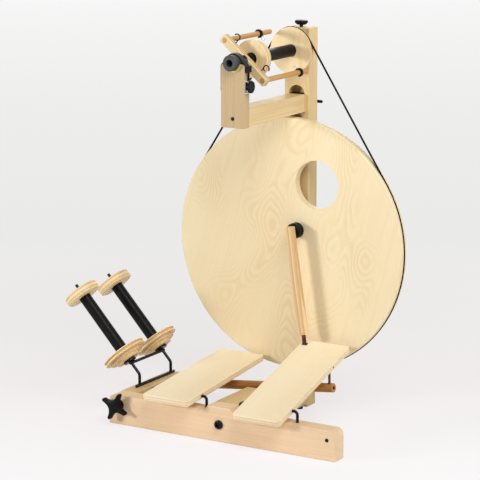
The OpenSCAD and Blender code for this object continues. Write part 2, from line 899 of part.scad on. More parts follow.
// Leather strap over the orifice ring, down both sides of the board
module brake_strap() {
    touch = [brake_radius * sin(brake_wrap), flyer_height + brake_radius * cos(brake_wrap)];
    color(black) along_y(brake_mid - brake_width / 2, brake_mid + brake_width / 2) {
        intersection() {
            difference() {
                translate([0, flyer_height])
                    circle(r = brake_radius + brake_thick / 2);
                translate([0, flyer_height])
                    circle(r = brake_radius - brake_thick / 2);
            }
            polygon([
                [0, flyer_height], [2 * touch.x, 2 * touch.y - flyer_height],
                [-2 * touch.x, 2 * touch.y - flyer_height]]);
        }
        for (side = [-1, 1])
            strip([side * touch.x, touch.y], [side * brake_side, brake_shoulder], brake_thick);
        strip([-brake_side, brake_shoulder], [-brake_side, brake_shoulder - brake_left_drop], brake_thick);
        strip([brake_side, brake_shoulder], [brake_side, brake_shoulder - brake_right_drop], brake_thick);
    }
}

// Buckle on the strap's right end, and the rod from it down to the brake's bracket
module brake_clip() {
    strap_end = brake_shoulder - brake_right_drop - brake_thick / 2;
    low = strap_end - brake_clip_wall;
    color(black) difference() {
        union() {
            translate([board_width / 2 + brake_gap / 2, brake_mid - brake_width / 2 - brake_clip_wall, low])
                cube([
                    brake_rod_x + brake_rod_radius - board_width / 2 - brake_gap / 2,
                    brake_width + 2 * brake_clip_wall,
                    brake_clip_length]);
            z_bar(brake_rod_radius, brake_plate_top + seat, low + brake_clip_wall / 2,
                brake_rod_x, brake_mid);
        }
        translate([brake_side - brake_thick, brake_mid - brake_width / 2 - seat, strap_end - seat])
            cube([brake_thick * 1.5 + seat, brake_width + 2 * seat, brake_clip_length]);
    }
}

// Bent steel bracket whose flanges reach over and under the brake knob's hub
module brake_plate() {
    half = board_width / 2;
    depth = board_depth - 2 * brake_plate_inset;
    low = brake_plate_top - brake_plate_height;
    color(steel) difference() {
        translate([half, brake_mid - depth / 2, low]) {
            cube([brake_plate_thick, depth, brake_plate_height]);
            for (rise = [0, brake_plate_height - brake_plate_thick])
                translate([0, 0, rise])
                    cube([brake_plate_thick + brake_flange, depth, brake_plate_thick]);
        }
        x_bar(brake_spindle_radius + run, half - over, half + brake_plate_thick + over,
            brake_mid, brake_knob_height);
    }
}

// Closed tube of two arcs and two straight runs, round the wheel and the whorl's large groove
module drive_belt() {
    turns = concat(
        [for (k = [0 : belt_wheel_steps]) 180 - belt_slope + k * (180 + 2 * belt_slope) / belt_wheel_steps],
        [for (k = [0 : belt_whorl_steps]) belt_slope - 360 + k * (180 - 2 * belt_slope) / belt_whorl_steps]);
    rings = len(turns);
    points = [
        for (k = [0 : rings - 1])
            let (
                low = k <= belt_wheel_steps,
                reach = low ? belt_on_wheel : belt_on_whorl,
                height = low ? wheel_height : flyer_height)
            for (side = [0 : belt_sides - 1])
                let (
                    out = reach + belt_radius * cos(side * 360 / belt_sides),
                    across = belt_radius * sin(side * 360 / belt_sides))
                [out * cos(turns[k]), belt_plane + across, height + out * sin(turns[k])]];
    faces = [
        for (k = [0 : rings - 1], side = [0 : belt_sides - 1], half = [0, 1])
            let (
                here = k * belt_sides,
                next = (k + 1) % rings * belt_sides,
                turned = (side + 1) % belt_sides)
            half == 0
                ? [here + side, here + turned, next + turned]
                : [here + side, next + turned, next + side]];
    color(black)
        polyhedron(points, faces);
}

// Knob on top of the post, whose stem holds the flyer's rear bush
module lock_knob() {
    rim = knob_edge;
    color(black) {
        translate([0, post_mid, lock_top])
            rotate_extrude()
                polygon([
                    [0, 0], [lock_knob_foot, 0], [lock_knob_radius, lock_knob_taper],
                    [lock_knob_radius, lock_knob_thick - 2 * rim],
                    [lock_knob_radius - rim, lock_knob_thick - rim / 2], [0, lock_knob_thick]]);
        z_bar(lock_stem_radius, flyer_height + rear_bush_radius + pass, lock_top, 0, post_mid);
    }
}

module brake_knob() {
    start = board_width / 2 + brake_plate_thick + brake_knob_gap;
    color(black) {
        x_bar(brake_spindle_radius, board_width / 2 - brake_spindle_depth + over, start,
            brake_mid, brake_knob_height);
        x_bar(brake_hub_radius, start - brake_flange, start, brake_mid, brake_knob_height);
        translate([start, brake_mid, brake_knob_height])
            rotate([0, 90, 0])
                lobed_disc(brake_knob_radius, brake_knob_length, brake_lobes);
    }
}

// Round grip with hollows between its lobes
module lobed_disc(radius, length, lobes) {
    hollow = radius * sin(90 / lobes);
    difference() {
        cylinder(r = radius, h = length);
        for (lobe = [0 : lobes - 1])
            rotate([0, 0, lobe * 360 / lobes])
                translate([radius + hollow / 2, 0, -over])
                    cylinder(r = hollow, h = length + 2 * over);
    }
}

// Star knob with four rounded arms, and its bolt into the rack's rail
module star_knob() {
    face = beam_front - star_neck;
    color(black) {
        along_y(face - star_thick, face)
            translate([-rack_x, star_height]) {
                circle(r = star_hub);
                for (turn = [star_turn : 90 : star_turn + 270])
                    rotate(turn) {
                        polygon([
                            [0, -star_root], [star_reach - star_tip, -star_tip],
                            [star_reach - star_tip, star_tip], [0, star_root]]);
                        translate([star_reach - star_tip, 0])
                            circle(r = star_tip);
                    }
            }
        y_bar(star_neck_radius, face, beam_front - pass, -rack_x, star_height);
        y_bar(star_bolt_radius, face, rack_front + star_bolt_depth, -rack_x, star_height);
    }
}

module drive_wheel() {
    half = wheel_thick / 2;
    color(birch) difference() {
        translate([0, belt_plane, wheel_height])
            rotate([90, 0, 0])
                rotate_extrude($fn = 180)
                    difference() {
                        polygon([
                            [axle_radius + seat, -half], [wheel_radius - rim_bevel, -half],
                            [wheel_radius, rim_bevel - half], [wheel_radius, half - rim_bevel],
                            [wheel_radius - rim_bevel, half], [axle_radius + seat, half]]);
                        translate([belt_on_wheel, 0])
                            circle(r = groove_radius);
                    }
        y_bar(hand_hole_radius, wheel_face - over, wheel_rear + over,
            hand_hole_reach * cos(hand_hole_angle), wheel_height + hand_hole_reach * sin(hand_hole_angle));
        y_bar(crank_pin_radius + seat, wheel_face - over, wheel_rear + over, crank_x, crank_z);
    }
}

module wheel_hub() {
    color(graphite) difference() {
        union() {
            y_bar(hub_radius, wheel_rear, wheel_rear + hub_thick, 0, wheel_height);
            y_bar(axle_collar, wheel_rear, post_face - pass, 0, wheel_height);
        }
        y_bar(axle_radius + seat, wheel_rear - over, post_face + over, 0, wheel_height);
    }
}

module wheel_axle() {
    color(steel)
        y_bar(axle_radius, wheel_face, axle_end, 0, wheel_height);
}

module axle_nut() {
    color(graphite) difference() {
        translate([0, post_back + pass, wheel_height])
            rotate([-90, 0, 0])
                cylinder(r = axle_nut_radius, h = axle_nut_length, $fn = 6);
        y_bar(axle_radius + seat, post_back, axle_end + over, 0, wheel_height);
    }
}

module crank_pin() {
    color(steel) {
        y_bar(crank_pin_radius, cap_front + crank_cap_length / 2, wheel_rear, crank_x, crank_z);
        y_bar(crank_collar, cap_front + crank_cap_length, wheel_face, crank_x, crank_z);
    }
}

// Round black cap on the crank pin, behind the footman's top
module crank_cap() {
    edge = crank_cap_edge;
    color(black) translate([crank_x, cap_front, crank_z])
        rotate([-90, 0, 0])
            rotate_extrude()
                difference() {
                    union() {
                        translate([0, edge])
                            square([crank_cap_radius, crank_cap_length - edge]);
                        square([crank_cap_radius - edge, crank_cap_length]);
                        translate([crank_cap_radius - edge, edge])
                            circle(r = edge);
                    }
                    translate([0, crank_cap_length / 2])
                        square([crank_pin_radius + seat, crank_cap_length]);
                    translate([-crank_cap_radius, 0])
                        square([crank_cap_radius, crank_cap_length]);
                }
}

// Plywood board with its hinge bore and link slot, drawn level about the hinge
module treadle_board(side) {
    length = treadle_fore + treadle_aft;
    left = side > 0 ? treadle_inner : -treadle_outer;
    edge = side > 0 ? treadle_outer : -treadle_outer;
    half = treadle_thick / 2;
    difference() {
        intersection() {
            translate([left, -treadle_fore, -half])
                linear_extrude(treadle_thick)
                    round_rectangle(treadle_width, length, treadle_corner);
            translate([left, -treadle_fore, -half])
                bevelled_box([treadle_width, length, treadle_thick], treadle_bevel);
        }
        x_bar(hinge_rod_radius + run, left - over, left + treadle_width + over, 0, 0);
        translate([side * link_x - link_thick / 2 - pass, link_reach - link_slot_room, -half - over])
            cube([link_thick + 2 * pass, 2 * link_slot_room, half + link_width / 2 + over + pass]);
        x_bar(treadle_pin_radius + seat, min(edge, edge - side * treadle_pin_length) - (side > 0 ? 0 : over),
            max(edge, edge - side * treadle_pin_length) + (side > 0 ? over : 0), link_reach, 0);
    }
}

module right_treadle() {
    slot_x = footman_strap_width / 2 + treadle_thick * tan(footman_lean) + pass;
    slot_y = footman_strap_width / 2 + 2 * pass;
    color(birch) at_treadle(right_slope)
        difference() {
            treadle_board(1);
            translate([footman_x - slot_x, footman_pin - slot_y, -treadle_thick])
                cube([2 * slot_x, 2 * slot_y, 2 * treadle_thick]);
            x_bar(treadle_pin_radius + seat, treadle_inner - over, treadle_inner + treadle_pin_length,
                footman_pin, 0);
        }
}

module left_treadle() {
    color(birch) at_treadle(left_slope)
        treadle_board(-1);
}

module right_treadle_pins() {
    color(black) at_treadle(right_slope) {
        x_bar(treadle_pin_radius, treadle_outer - treadle_pin_length, treadle_outer, link_reach, 0);
        x_bar(treadle_pin_radius, treadle_inner, treadle_inner + treadle_pin_length, footman_pin, 0);
    }
}

module left_treadle_pin() {
    color(black) at_treadle(left_slope)
        x_bar(treadle_pin_radius, -treadle_outer, treadle_pin_length - treadle_outer, link_reach, 0);
}

// Round bar that joins the two treadles, slotted for the links near its ends
module rocker() {
    slot_x = link_x / cos(rocker_slope);
    color(beech) at_rocker() difference() {
        x_bar(rocker_radius, -rocker_half, rocker_half, 0, 0);
        y_bar(rocker_pin_radius + run, -rocker_radius - over, rocker_radius + over, 0, 0);
        for (side = [-1, 1]) {
            translate([side * slot_x - link_slot / 2, -link_slot_long / 2, -link_width])
                cube([link_slot, link_slot_long, link_width + rocker_radius + over]);
            x_bar(link_screw_radius + seat,
                side > 0 ? rocker_half - rocker_screw_length : -rocker_half - over,
                side > 0 ? rocker_half + over : rocker_screw_length - rocker_half, 0, 0);
        }
    }
}

// Black screws in the rocker's ends, each through a link's lower eye
module rocker_screws() {
    color(black) at_rocker() for (side = [-1, 1])
        translate([side * rocker_half, 0, 0])
            rotate([0, side * 90, 0]) {
                cylinder(r1 = link_screw_head, r2 = link_screw_head - link_screw_taper, h = link_screw_cap);
                translate([0, 0, over - rocker_screw_length])
                    cylinder(r = link_screw_radius, h = rocker_screw_length - over);
            }
}

// Leather link with an eye at each end, drawn down from its upper pin
module link(lean) {
    drop = link_length / cos(lean);
    rotate([lean, 0, 0])
        rotate([90, 0, 90])
            translate([0, 0, -link_thick / 2])
                linear_extrude(link_thick)
                    difference() {
                        union() {
                            translate([-link_width / 2, -drop])
                                square([link_width, drop]);
                            for (z = [0, -drop])
                                translate([0, z])
                                    circle(d = link_width);
                        }
                        circle(r = treadle_pin_radius + run);
                        translate([0, -drop])
                            circle(r = link_screw_radius + pass);
                    }
}

module right_link() {
    color(oxblood) translate([link_x, right_link_y, right_link_z])
        link(right_link_lean);
}

module left_link() {
    color(oxblood) translate([-link_x, left_link_y, left_link_z])
        link(left_link_lean);
}

// Wooden bar from the right treadle up to the crank
module footman() {
    length = footman_length + footman_over - footman_strap_free;
    color(birch) at_footman() difference() {
        translate([-footman_width / 2, -footman_depth / 2, footman_strap_free])
            bevelled_box([footman_width, footman_depth, length], edge_bevel / 2);
        translate([
            -footman_strap_width / 2 - seat, -footman_strap_thick / 2 - seat, footman_strap_free - over])
            cube([
                footman_strap_width + 2 * seat, footman_strap_thick + 2 * seat, footman_strap_held + over]);
    }
}

module footman_strap() {
    color(oxblood) difference() {
        at_footman() {
            translate([-footman_strap_width / 2, -footman_strap_thick / 2, 0])
                cube([footman_strap_width, footman_strap_thick, footman_strap_free + footman_strap_held]);
            x_bar(footman_strap_width / 2, -footman_strap_width / 2, footman_strap_width / 2, 0, 0);
        }
        x_bar(treadle_pin_radius + run, footman_x - treadle_width, footman_x + treadle_width,
            footman_y, footman_z);
    }
}

// Dark ring with the orifice, its neck through the crossbar and the yarn's side outlet
module orifice_hub() {
    ring_front = board_front - orifice_ring_length;
    ring_back = board_back + orifice_ring_over;
    edge = knob_edge;
    color(graphite) difference() {
        translate([0, ring_front, flyer_height])
            rotate([-90, 0, 0])
                rotate_extrude()
                    polygon([
                        [0, 0], [orifice_ring_radius - edge, 0], [orifice_ring_radius, edge],
                        [orifice_ring_radius, ring_back - ring_front],
                        [neck_radius, ring_back - ring_front],
                        [neck_radius, crossbar_front - ring_front],
                        [tenon_radius, crossbar_front - ring_front],
                        [tenon_radius, crossbar_back - ring_front], [0, crossbar_back - ring_front]]);
        y_bar(orifice_radius, ring_front - over, orifice_end, 0, flyer_height);
        y_bar(spindle_radius + seat, orifice_end - over, crossbar_back + over, 0, flyer_height);
        at_flyer()
            translate([0, orifice_end - outlet_radius, -orifice_ring_radius])
                cylinder(r = outlet_radius, h = 2 * orifice_ring_radius);
    }
}

module flyer_spindle() {
    color(steel)
        y_bar(spindle_radius, orifice_end, post_face + rear_bush_length - spindle_short, 0, flyer_height);
}

module flyer_collar() {
    color(black) difference() {
        y_bar(collar_radius, crossbar_back, bobbin_front - pass, 0, flyer_height);
        y_bar(spindle_radius + seat, crossbar_back - over, bobbin_front, 0, flyer_height);
    }
}

module flyer_crossbar() {
    color(beech) at_flyer() difference() {
        translate([-crossbar_length / 2, crossbar_front, -crossbar_width / 2])
            bevelled_box([crossbar_length, crossbar_depth, crossbar_width], crossbar_bevel);
        y_bar(tenon_radius + seat, crossbar_front - over, crossbar_back + over, 0, 0);
        for (side = [-1, 1])
            y_bar(flyer_arm_radius + seat, crossbar_front - over, crossbar_back + over,
                side * flyer_arm_reach, 0);
        for (side = [-1, 1])
            z_bar(guide_stem_radius + seat, -crossbar_width / 2 - over, guide_depth - crossbar_width / 2,
                side * guide_stem, guide_y);
    }
}

// Two round wooden arms
module flyer_arms() {
    color(beech) at_flyer() for (side = [-1, 1])
        translate([side * flyer_arm_reach, crossbar_front, 0])
            rotate([-90, 0, 0])
                rotate_extrude()
                    polygon([
                        [0, 0], [flyer_arm_radius, 0], [flyer_arm_radius, arm_total - crossbar_bevel],
                        [flyer_arm_radius - crossbar_bevel, arm_total], [0, arm_total]]);
}

// Open clip round a flyer arm
module arm_clip(side, back) {
    far = 2 * hook_clip_radius;
    mouth = far * tan(clip_opening / 2);
    middle = crossbar_back + back;
    translate([side * flyer_arm_reach, 0, 0])
        along_y(middle - hook_clip_length / 2, middle + hook_clip_length / 2)
            difference() {
                circle(r = hook_clip_radius);
                circle(r = flyer_arm_radius + run);
                polygon([[0, 0], [mouth, far], [-mouth, far]]);
            }
}

// Clip with a wire loop on its inner side
module sliding_hook(side, back) {
    at_flyer() {
        arm_clip(side, back);
        translate([side * (flyer_arm_reach - hook_clip_radius - hook_loop), crossbar_back + back, 0])
            rotate([90, 0, 0])
                rotate_extrude()
                    translate([hook_loop, 0])
                        circle(r = hook_wire);
    }
}

// Open wire guides on the crossbar's side, with their stems set in the wood
module guide_rings() {
    middle = -crossbar_width / 2 - guide_rise;
    color(black) at_flyer() for (side = [-1, 1]) {
        translate([side * guide_reach, guide_y, middle])
            rotate([90, 0, 0])
                rotate([0, 0, 90 - side * 45 + guide_open / 2])
                    rotate_extrude(angle = 360 - guide_open)
                        translate([guide_radius, 0])
                            circle(r = guide_wire);
        z_bar(guide_stem_radius, middle + guide_radius * sin(guide_foot),
            guide_depth - crossbar_width / 2 - seat, side * guide_stem, guide_y);
    }
}

module upper_hook() {
    color(black)
        sliding_hook(1, upper_hook_back);
}

module lower_hook() {
    color(black)
        sliding_hook(-1, lower_hook_back);
}

// Bobbin pieces, drawn up from the small end of the whorl
module tube_form() {
    difference() {
        cylinder(r = bobbin_tube_radius, h = bobbin_length);
        translate([0, 0, -over])
            cylinder(r = spindle_radius + run, h = bobbin_length + 2 * over);
    }
}

module flange_form() {
    edge = flange_edge;
    translate([0, 0, bobbin_length - flange_thick])
        rotate_extrude()
            difference() {
                union() {
                    square([flange_radius - edge, flange_thick]);
                    for (z = [edge, flange_thick - edge])
                        translate([flange_radius - edge, z])
                            circle(r = edge);
                    translate([0, edge])
                        square([flange_radius, flange_thick - 2 * edge]);
                }
                translate([-over, -over])
                    square([bobbin_tube_radius + seat + over, flange_thick + 2 * over]);
            }
}

module whorl_form() {
    rotate_extrude()
        difference() {
            union() {
                square([whorl_small, whorl_step]);
                translate([0, whorl_step])
                    square([whorl_middle, whorl_step]);
                translate([0, 2 * whorl_step])
                    square([whorl_large, whorl_large_thick]);
            }
            whorl_groove(whorl_small, whorl_step / 2);
            whorl_groove(whorl_middle, whorl_step * 1.5);
            whorl_groove(whorl_large, 2 * whorl_step + whorl_large_thick / 2);
            translate([-over, -over])
                square([bobbin_tube_radius + seat + over, whorl_length + 2 * over]);
        }
}

module whorl_groove(radius, z) {
    translate([radius - whorl_large + belt_on_whorl, z])
        circle(r = groove_radius);
    translate([radius - whorl_large + belt_on_whorl, z - groove_radius])
        square([whorl_large, 2 * groove_radius]);
}

module at_bobbin() {
    translate([0, bobbin_end, flyer_height])
        rotate([90, 0, 0])
            children();
}

module bobbin_tube() {
    color(black) at_bobbin()
        tube_form();
}

module bobbin_flange() {
    color(beech) at_bobbin()
        flange_form();
}

module bobbin_whorl() {
    color(beech) at_bobbin()
        whorl_form();
}

// Wooden rail of the bobbin rack, behind the beam's left end
module rack_rail() {
    color(birch) difference() {
        translate([-rack_x - rack_width / 2, rack_front, star_height - rack_height / 2])
            bevelled_box([rack_width, rack_length, rack_height], edge_bevel);
        y_bar(star_bolt_radius + run, rack_front - over, rack_front + star_bolt_depth + over,
            -rack_x, star_height);
    }
}

// Welded wire frame: a bar on the rail, two cranked arms and a bar under the spindles
module rack_frame() {
    ends = [rack_first, rack_first + rack_spacing];
    color(black) {
        y_bar(rack_wire, ends[0] - rack_bar_over, ends[1] + rack_bar_over, -rack_x, rack_bar_height);
        for (y = ends) {
            z_bar(rack_wire, rack_bar_height, rack_knee_height, -rack_x, y);
            translate([-rack_x, y, rack_knee_height]) {
                sphere(r = rack_wire);
                rotate([0, -rack_lean, 0])
                    cylinder(r = rack_wire, h = rack_arm);
            }
        }
        y_bar(rack_wire, ends[0] - rack_bar_over / 2, ends[1] + rack_bar_over / 2,
            rack_shelf_x, rack_shelf_z);
    }
}

// Spindles with the washers that the spare bobbins sit on
module rack_spindles() {
    color(black) for (y = [rack_first, rack_first + rack_spacing])
        at_spindle(y) {
            translate([0, 0, spindle_rise])
                cylinder(r = washer_radius, h = washer_thick);
            translate([0, 0, spindle_rise])
                cylinder(r = spindle_radius, h = rack_spindle);
        }
}

module at_spare(y) {
    at_spindle(y)
        translate([0, 0, spindle_rise + washer_thick + pass])
            children();
}

module front_spare_tube() {
    color(black) at_spare(rack_first)
        tube_form();
}

module front_spare_flange() {
    color(beech) at_spare(rack_first)
        flange_form();
}

module front_spare_whorl() {
    color(beech) at_spare(rack_first)
        whorl_form();
}

module rear_spare_tube() {
    color(black) at_spare(rack_first + rack_spacing)
        tube_form();
}

module rear_spare_flange() {
    color(beech) at_spare(rack_first + rack_spacing)
        flange_form();
}

module rear_spare_whorl() {
    color(beech) at_spare(rack_first + rack_spacing)
        whorl_form();
}

front_beam();
spine();
post();
beam_bolt();
spine_bolts();
black_screws();
rubber_feet();
rocker_bracket();
rocker_pin();
right_hinge_rod();
left_hinge_rod();
arm();
arm_peg();
front_board();
front_bearing();
rear_bearing();
wheel_bearings();
brake_strap();
brake_clip();
brake_plate();
drive_belt();
lock_knob();
brake_knob();
star_knob();
drive_wheel();
wheel_hub();
wheel_axle();
axle_nut();
crank_pin();
crank_cap();
right_treadle();
right_treadle_pins();
left_treadle();
left_treadle_pin();
rocker();
rocker_screws();
right_link();
left_link();
footman();
footman_strap();
orifice_hub();
flyer_spindle();
flyer_collar();
flyer_crossbar();
flyer_arms();
guide_rings();
upper_hook();
lower_hook();
bobbin_tube();
bobbin_flange();
bobbin_whorl();
rack_rail();
rack_frame();
rack_spindles();
front_spare_tube();
front_spare_flange();
front_spare_whorl();
rear_spare_tube();
rear_spare_flange();
rear_spare_whorl();
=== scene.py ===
"""Looks of a double treadle spinning wheel: its woods, leathers, plastics and steels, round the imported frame.

Every length is in metres. Shapes are worked out with numpy as surfaces of two parameters, and the timber
pieces are copies of their solids with rounded arrises. Patterns are solid textures on Object coordinates, so
that grain runs through a piece and layers of plywood show on its edges.
"""

import json
import logging
import math
from dataclasses import dataclass
from enum import Enum
from functools import cache

import bmesh
import bpy
import numpy as np
from mathutils import Euler, Matrix, Vector

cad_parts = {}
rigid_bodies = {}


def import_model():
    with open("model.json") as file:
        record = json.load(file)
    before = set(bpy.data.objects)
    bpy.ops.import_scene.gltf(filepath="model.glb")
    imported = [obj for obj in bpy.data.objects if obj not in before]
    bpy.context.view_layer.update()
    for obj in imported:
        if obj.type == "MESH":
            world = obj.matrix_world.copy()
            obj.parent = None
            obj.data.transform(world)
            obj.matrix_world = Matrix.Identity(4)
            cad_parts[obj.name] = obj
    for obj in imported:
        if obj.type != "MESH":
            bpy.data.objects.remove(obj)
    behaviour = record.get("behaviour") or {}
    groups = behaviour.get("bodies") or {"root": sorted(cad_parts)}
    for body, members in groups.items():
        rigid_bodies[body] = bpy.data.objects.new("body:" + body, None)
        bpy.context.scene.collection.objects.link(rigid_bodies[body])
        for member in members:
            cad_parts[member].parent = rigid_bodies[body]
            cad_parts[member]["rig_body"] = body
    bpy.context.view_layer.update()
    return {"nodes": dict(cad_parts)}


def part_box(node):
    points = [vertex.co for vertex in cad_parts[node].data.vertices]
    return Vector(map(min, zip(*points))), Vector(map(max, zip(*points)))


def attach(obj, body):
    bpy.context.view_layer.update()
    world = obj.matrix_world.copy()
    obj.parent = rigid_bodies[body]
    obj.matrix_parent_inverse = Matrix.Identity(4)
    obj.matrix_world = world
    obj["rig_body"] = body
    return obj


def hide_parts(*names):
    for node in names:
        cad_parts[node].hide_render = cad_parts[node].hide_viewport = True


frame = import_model()

MM = 0.001
WOOD_GLOSS, LEATHER_GLOSS = 0.22, 0.3
TIMBER_RELIEF, PLY_RELIEF, LEATHER_RELIEF = 0.05 * MM, 0.025 * MM, 0.12 * MM
GLUE_LINE = (150, 112, 70)
SMOOTH_BELOW = math.radians(40)
ARRIS_ABOVE = math.radians(30)
ARRIS_STEPS = 2
FLAT_WITHIN = math.radians(0.4)
UP = Vector((0, 0, 1))
RIGHT = Vector((1, 0, 0))
BACK = Vector((0, 1, 0))
Socket = bpy.types.NodeSocket
log = logging.getLogger("spinning_wheel")


# Colours and shader helpers


def srgb(red: int, green: int, blue: int) -> tuple[float, float, float, float]:
    """Turn a colour as seen on a screen into the linear colour that a shader takes.

    Args:
        red, green, blue: The colour's parts, from 0 to 255.

    Returns:
        The linear colour with an alpha of 1.
    """
    parts = np.array((red, green, blue)) / 255
    linear = np.where(parts <= 0.04045, parts / 12.92, ((parts + 0.055) / 1.055) ** 2.4)
    return (*(float(part) for part in linear), 1.0)


class Shade:
    """A shader tree with short calls for the nodes that the finishes use."""

    def __init__(self, tree: bpy.types.NodeTree) -> None:
        """Keep the tree that nodes go into."""
        self.tree = tree

    def add(self, kind: str, values: dict | None = None, **settings: object) -> bpy.types.Node:
        """Add a node.

        Args:
            kind: The node's Blender type.
            values: Its inputs by name or number. A socket is linked, and anything else is set.
            settings: The node's own properties.

        Returns:
            The node.
        """
        node = self.tree.nodes.new(kind)
        for name, value in settings.items():
            setattr(node, name, value)
        for key, value in (values or {}).items():
            if isinstance(value, Socket):
                self.tree.links.new(value, node.inputs[key])
            else:
                node.inputs[key].default_value = value
        return node

    def math(self, operation: str, first: object, second: object = 0.0, third: object = 0.0) -> Socket:
        """Add a Math node and give its result."""
        return self.add("ShaderNodeMath", {0: first, 1: second, 2: third}, operation=operation).outputs[0]

    def stretched(self, vector: Socket, scale: tuple[float, float, float]) -> Socket:
        """Give the vector with each part multiplied by its own scale."""
        return self.add("ShaderNodeVectorMath", {0: vector, 1: scale}, operation="MULTIPLY").outputs[0]

    def noise(self, vector: Socket, scale: tuple[float, float, float], detail: float = 2.0) -> Socket:
        """Give a noise from 0 to 1 whose scale, in waves per metre, differs along the three axes."""
        values = {"Vector": self.stretched(vector, scale), "Scale": 1.0, "Detail": detail, "Roughness": 0.5}
        return self.add("ShaderNodeTexNoise", values).outputs[0]

    def ramp(self, value: Socket, low: float, high: float, start: float = 0.0, end: float = 1.0) -> Socket:
        """Give start at or below low, end at or above high, and a smooth step between them."""
        values = {"Value": value, "From Min": low, "From Max": high, "To Min": start, "To Max": end}
        return self.add("ShaderNodeMapRange", values, interpolation_type="SMOOTHSTEP").outputs[0]

    def mix(self, factor: object, first: object, second: object) -> Socket:
        """Give a blend of two colours."""
        return self.add("ShaderNodeMix", {0: factor, 6: first, 7: second}, data_type="RGBA").outputs[2]

    def group(self, group: bpy.types.NodeTree, **values: object) -> bpy.types.Node:
        """Place a shared node group, with underscores in the names for spaces."""
        inputs = {name.replace("_", " "): value for name, value in values.items()}
        return self.add("ShaderNodeGroup", inputs, node_tree=group)


# Effects that several finishes share, each a node group that is built once


def pattern_start(name: str, inputs: dict[str, float | None], outputs: tuple[str, ...]) -> tuple:
    """Make an empty group.

    Args:
        name: The group's name.
        inputs: Each input's name and its usual value. None makes it a vector.
        outputs: The names of the values that it puts out.

    Returns:
        The group's Shade, the node with its inputs and the node with its outputs.
    """
    tree = bpy.data.node_groups.new(name, "ShaderNodeTree")
    for label, value in inputs.items():
        kind = "NodeSocketVector" if value is None else "NodeSocketFloat"
        socket = tree.interface.new_socket(label, in_out="INPUT", socket_type=kind)
        if value is not None:
            socket.default_value = value
    for label in outputs:
        tree.interface.new_socket(label, in_out="OUTPUT", socket_type="NodeSocketFloat")
    return Shade(tree), tree.nodes.new("NodeGroupInput"), tree.nodes.new("NodeGroupOutput")


def pattern_end(shade: Shade, result: bpy.types.Node, links: dict[str, Socket]) -> bpy.types.NodeTree:
    """Link a group's outputs.

    Args:
        shade: The group's Shade.
        result: The node with its outputs.
        links: What each output gives.

    Returns:
        The group.
    """
    for label, socket in links.items():
        shade.tree.links.new(socket, result.inputs[label])
    return shade.tree


@cache
def timber_pattern() -> bpy.types.NodeTree:
    """Solid wood with its grain along X.

    Rings are the fraction of the wavering distance to a far pith over the ring width, so long faces show
    streaks and end faces show arcs. Streaks are noise drawn out along the grain, and flecks are short dashes.

    Returns:
        The group, with the outputs Rings, Streak, Fibre and Fleck.
    """
    shade, given, result = pattern_start(
        "timber", {"Vector": None, "Ring Width": 0.004, "Pith": 0.1}, ("Rings", "Streak", "Fibre", "Fleck"))
    vector = given.outputs["Vector"]
    parts = shade.add("ShaderNodeSeparateXYZ", {0: vector})
    waver = shade.math("MULTIPLY", shade.noise(vector, (2.5, 13, 13)), 0.016)
    side = shade.math("ADD", parts.outputs[1], given.outputs["Pith"])
    square = shade.math("MULTIPLY_ADD", side, side, shade.math("POWER", parts.outputs[2], 2.0))
    reach = shade.math("ADD", shade.math("SQRT", square), waver)
    turn = shade.math("FRACT", shade.math("DIVIDE", reach, given.outputs["Ring Width"]))
    rise = shade.ramp(turn, 0.1, 0.9)
    rings = shade.math("MULTIPLY", rise, shade.ramp(turn, 0.92, 1.0, 1.0, 0.0))
    fleck = shade.ramp(shade.noise(vector, (230, 1500, 1500), 1.0), 0.62, 0.74)
    links = {
        "Rings": rings, "Streak": shade.noise(vector, (5, 210, 210), 3.0),
        "Fibre": shade.noise(vector, (26, 1300, 1300), 2.0), "Fleck": fleck}
    return pattern_end(shade, result, links)


@cache
def veneer_pattern() -> bpy.types.NodeTree:
    """Plywood with its face grain along X and its faces square to Z.

    The face's figure is the height lines of a slow noise field, as on a peeled log. A layer's number is the
    depth below the nearer face over the layer's thickness, rounded down, and odd layers show their end grain.

    Returns:
        The group, with the outputs Figure, Tone, Streak, Fibre, Layer and Glue.
    """
    shade, given, result = pattern_start(
        "veneer", {"Vector": None, "Half": 0.0075, "Layer Depth": 0.0014, "Lines": 12.0},
        ("Figure", "Tone", "Streak", "Fibre", "Layer", "Glue"))
    vector = given.outputs["Vector"]
    waver = shade.math("MULTIPLY", shade.noise(vector, (16, 44, 0), 2.0), 0.035)
    slow = shade.math("ADD", shade.noise(vector, (4.2, 8.6, 0), 1.2), waver)
    turn = shade.math("FRACT", shade.math("MULTIPLY", slow, given.outputs["Lines"]))
    line = shade.math("MULTIPLY", shade.ramp(turn, 0.1, 0.75), shade.ramp(turn, 0.75, 1.0, 1.0, 0.0))
    strength = shade.ramp(shade.noise(vector, (5, 10, 0), 1.0), 0.38, 0.66, 0.1, 1.0)
    height = shade.math("ABSOLUTE", shade.add("ShaderNodeSeparateXYZ", {0: vector}).outputs[2])
    depth = shade.math("MAXIMUM", shade.math("SUBTRACT", given.outputs["Half"], height), 0.00002)
    number = shade.math("DIVIDE", depth, given.outputs["Layer Depth"])
    part = shade.math("FRACT", number)
    odd = shade.math("MODULO", shade.math("FLOOR", number), 2.0)
    border = shade.math("MAXIMUM", shade.ramp(part, 0.0, 0.12, 1.0, 0.0), shade.ramp(part, 0.88, 1.0))
    inner = shade.ramp(number, 0.6, 0.9)
    links = {
        "Figure": shade.math("MULTIPLY", line, strength), "Tone": shade.noise(vector, (1.6, 5, 5), 2.0),
        "Streak": shade.noise(vector, (7, 190, 190), 3.0),
        "Fibre": shade.noise(vector, (40, 1100, 1100), 2.0),
        "Layer": odd, "Glue": shade.math("MULTIPLY", border, inner)}
    return pattern_end(shade, result, links)


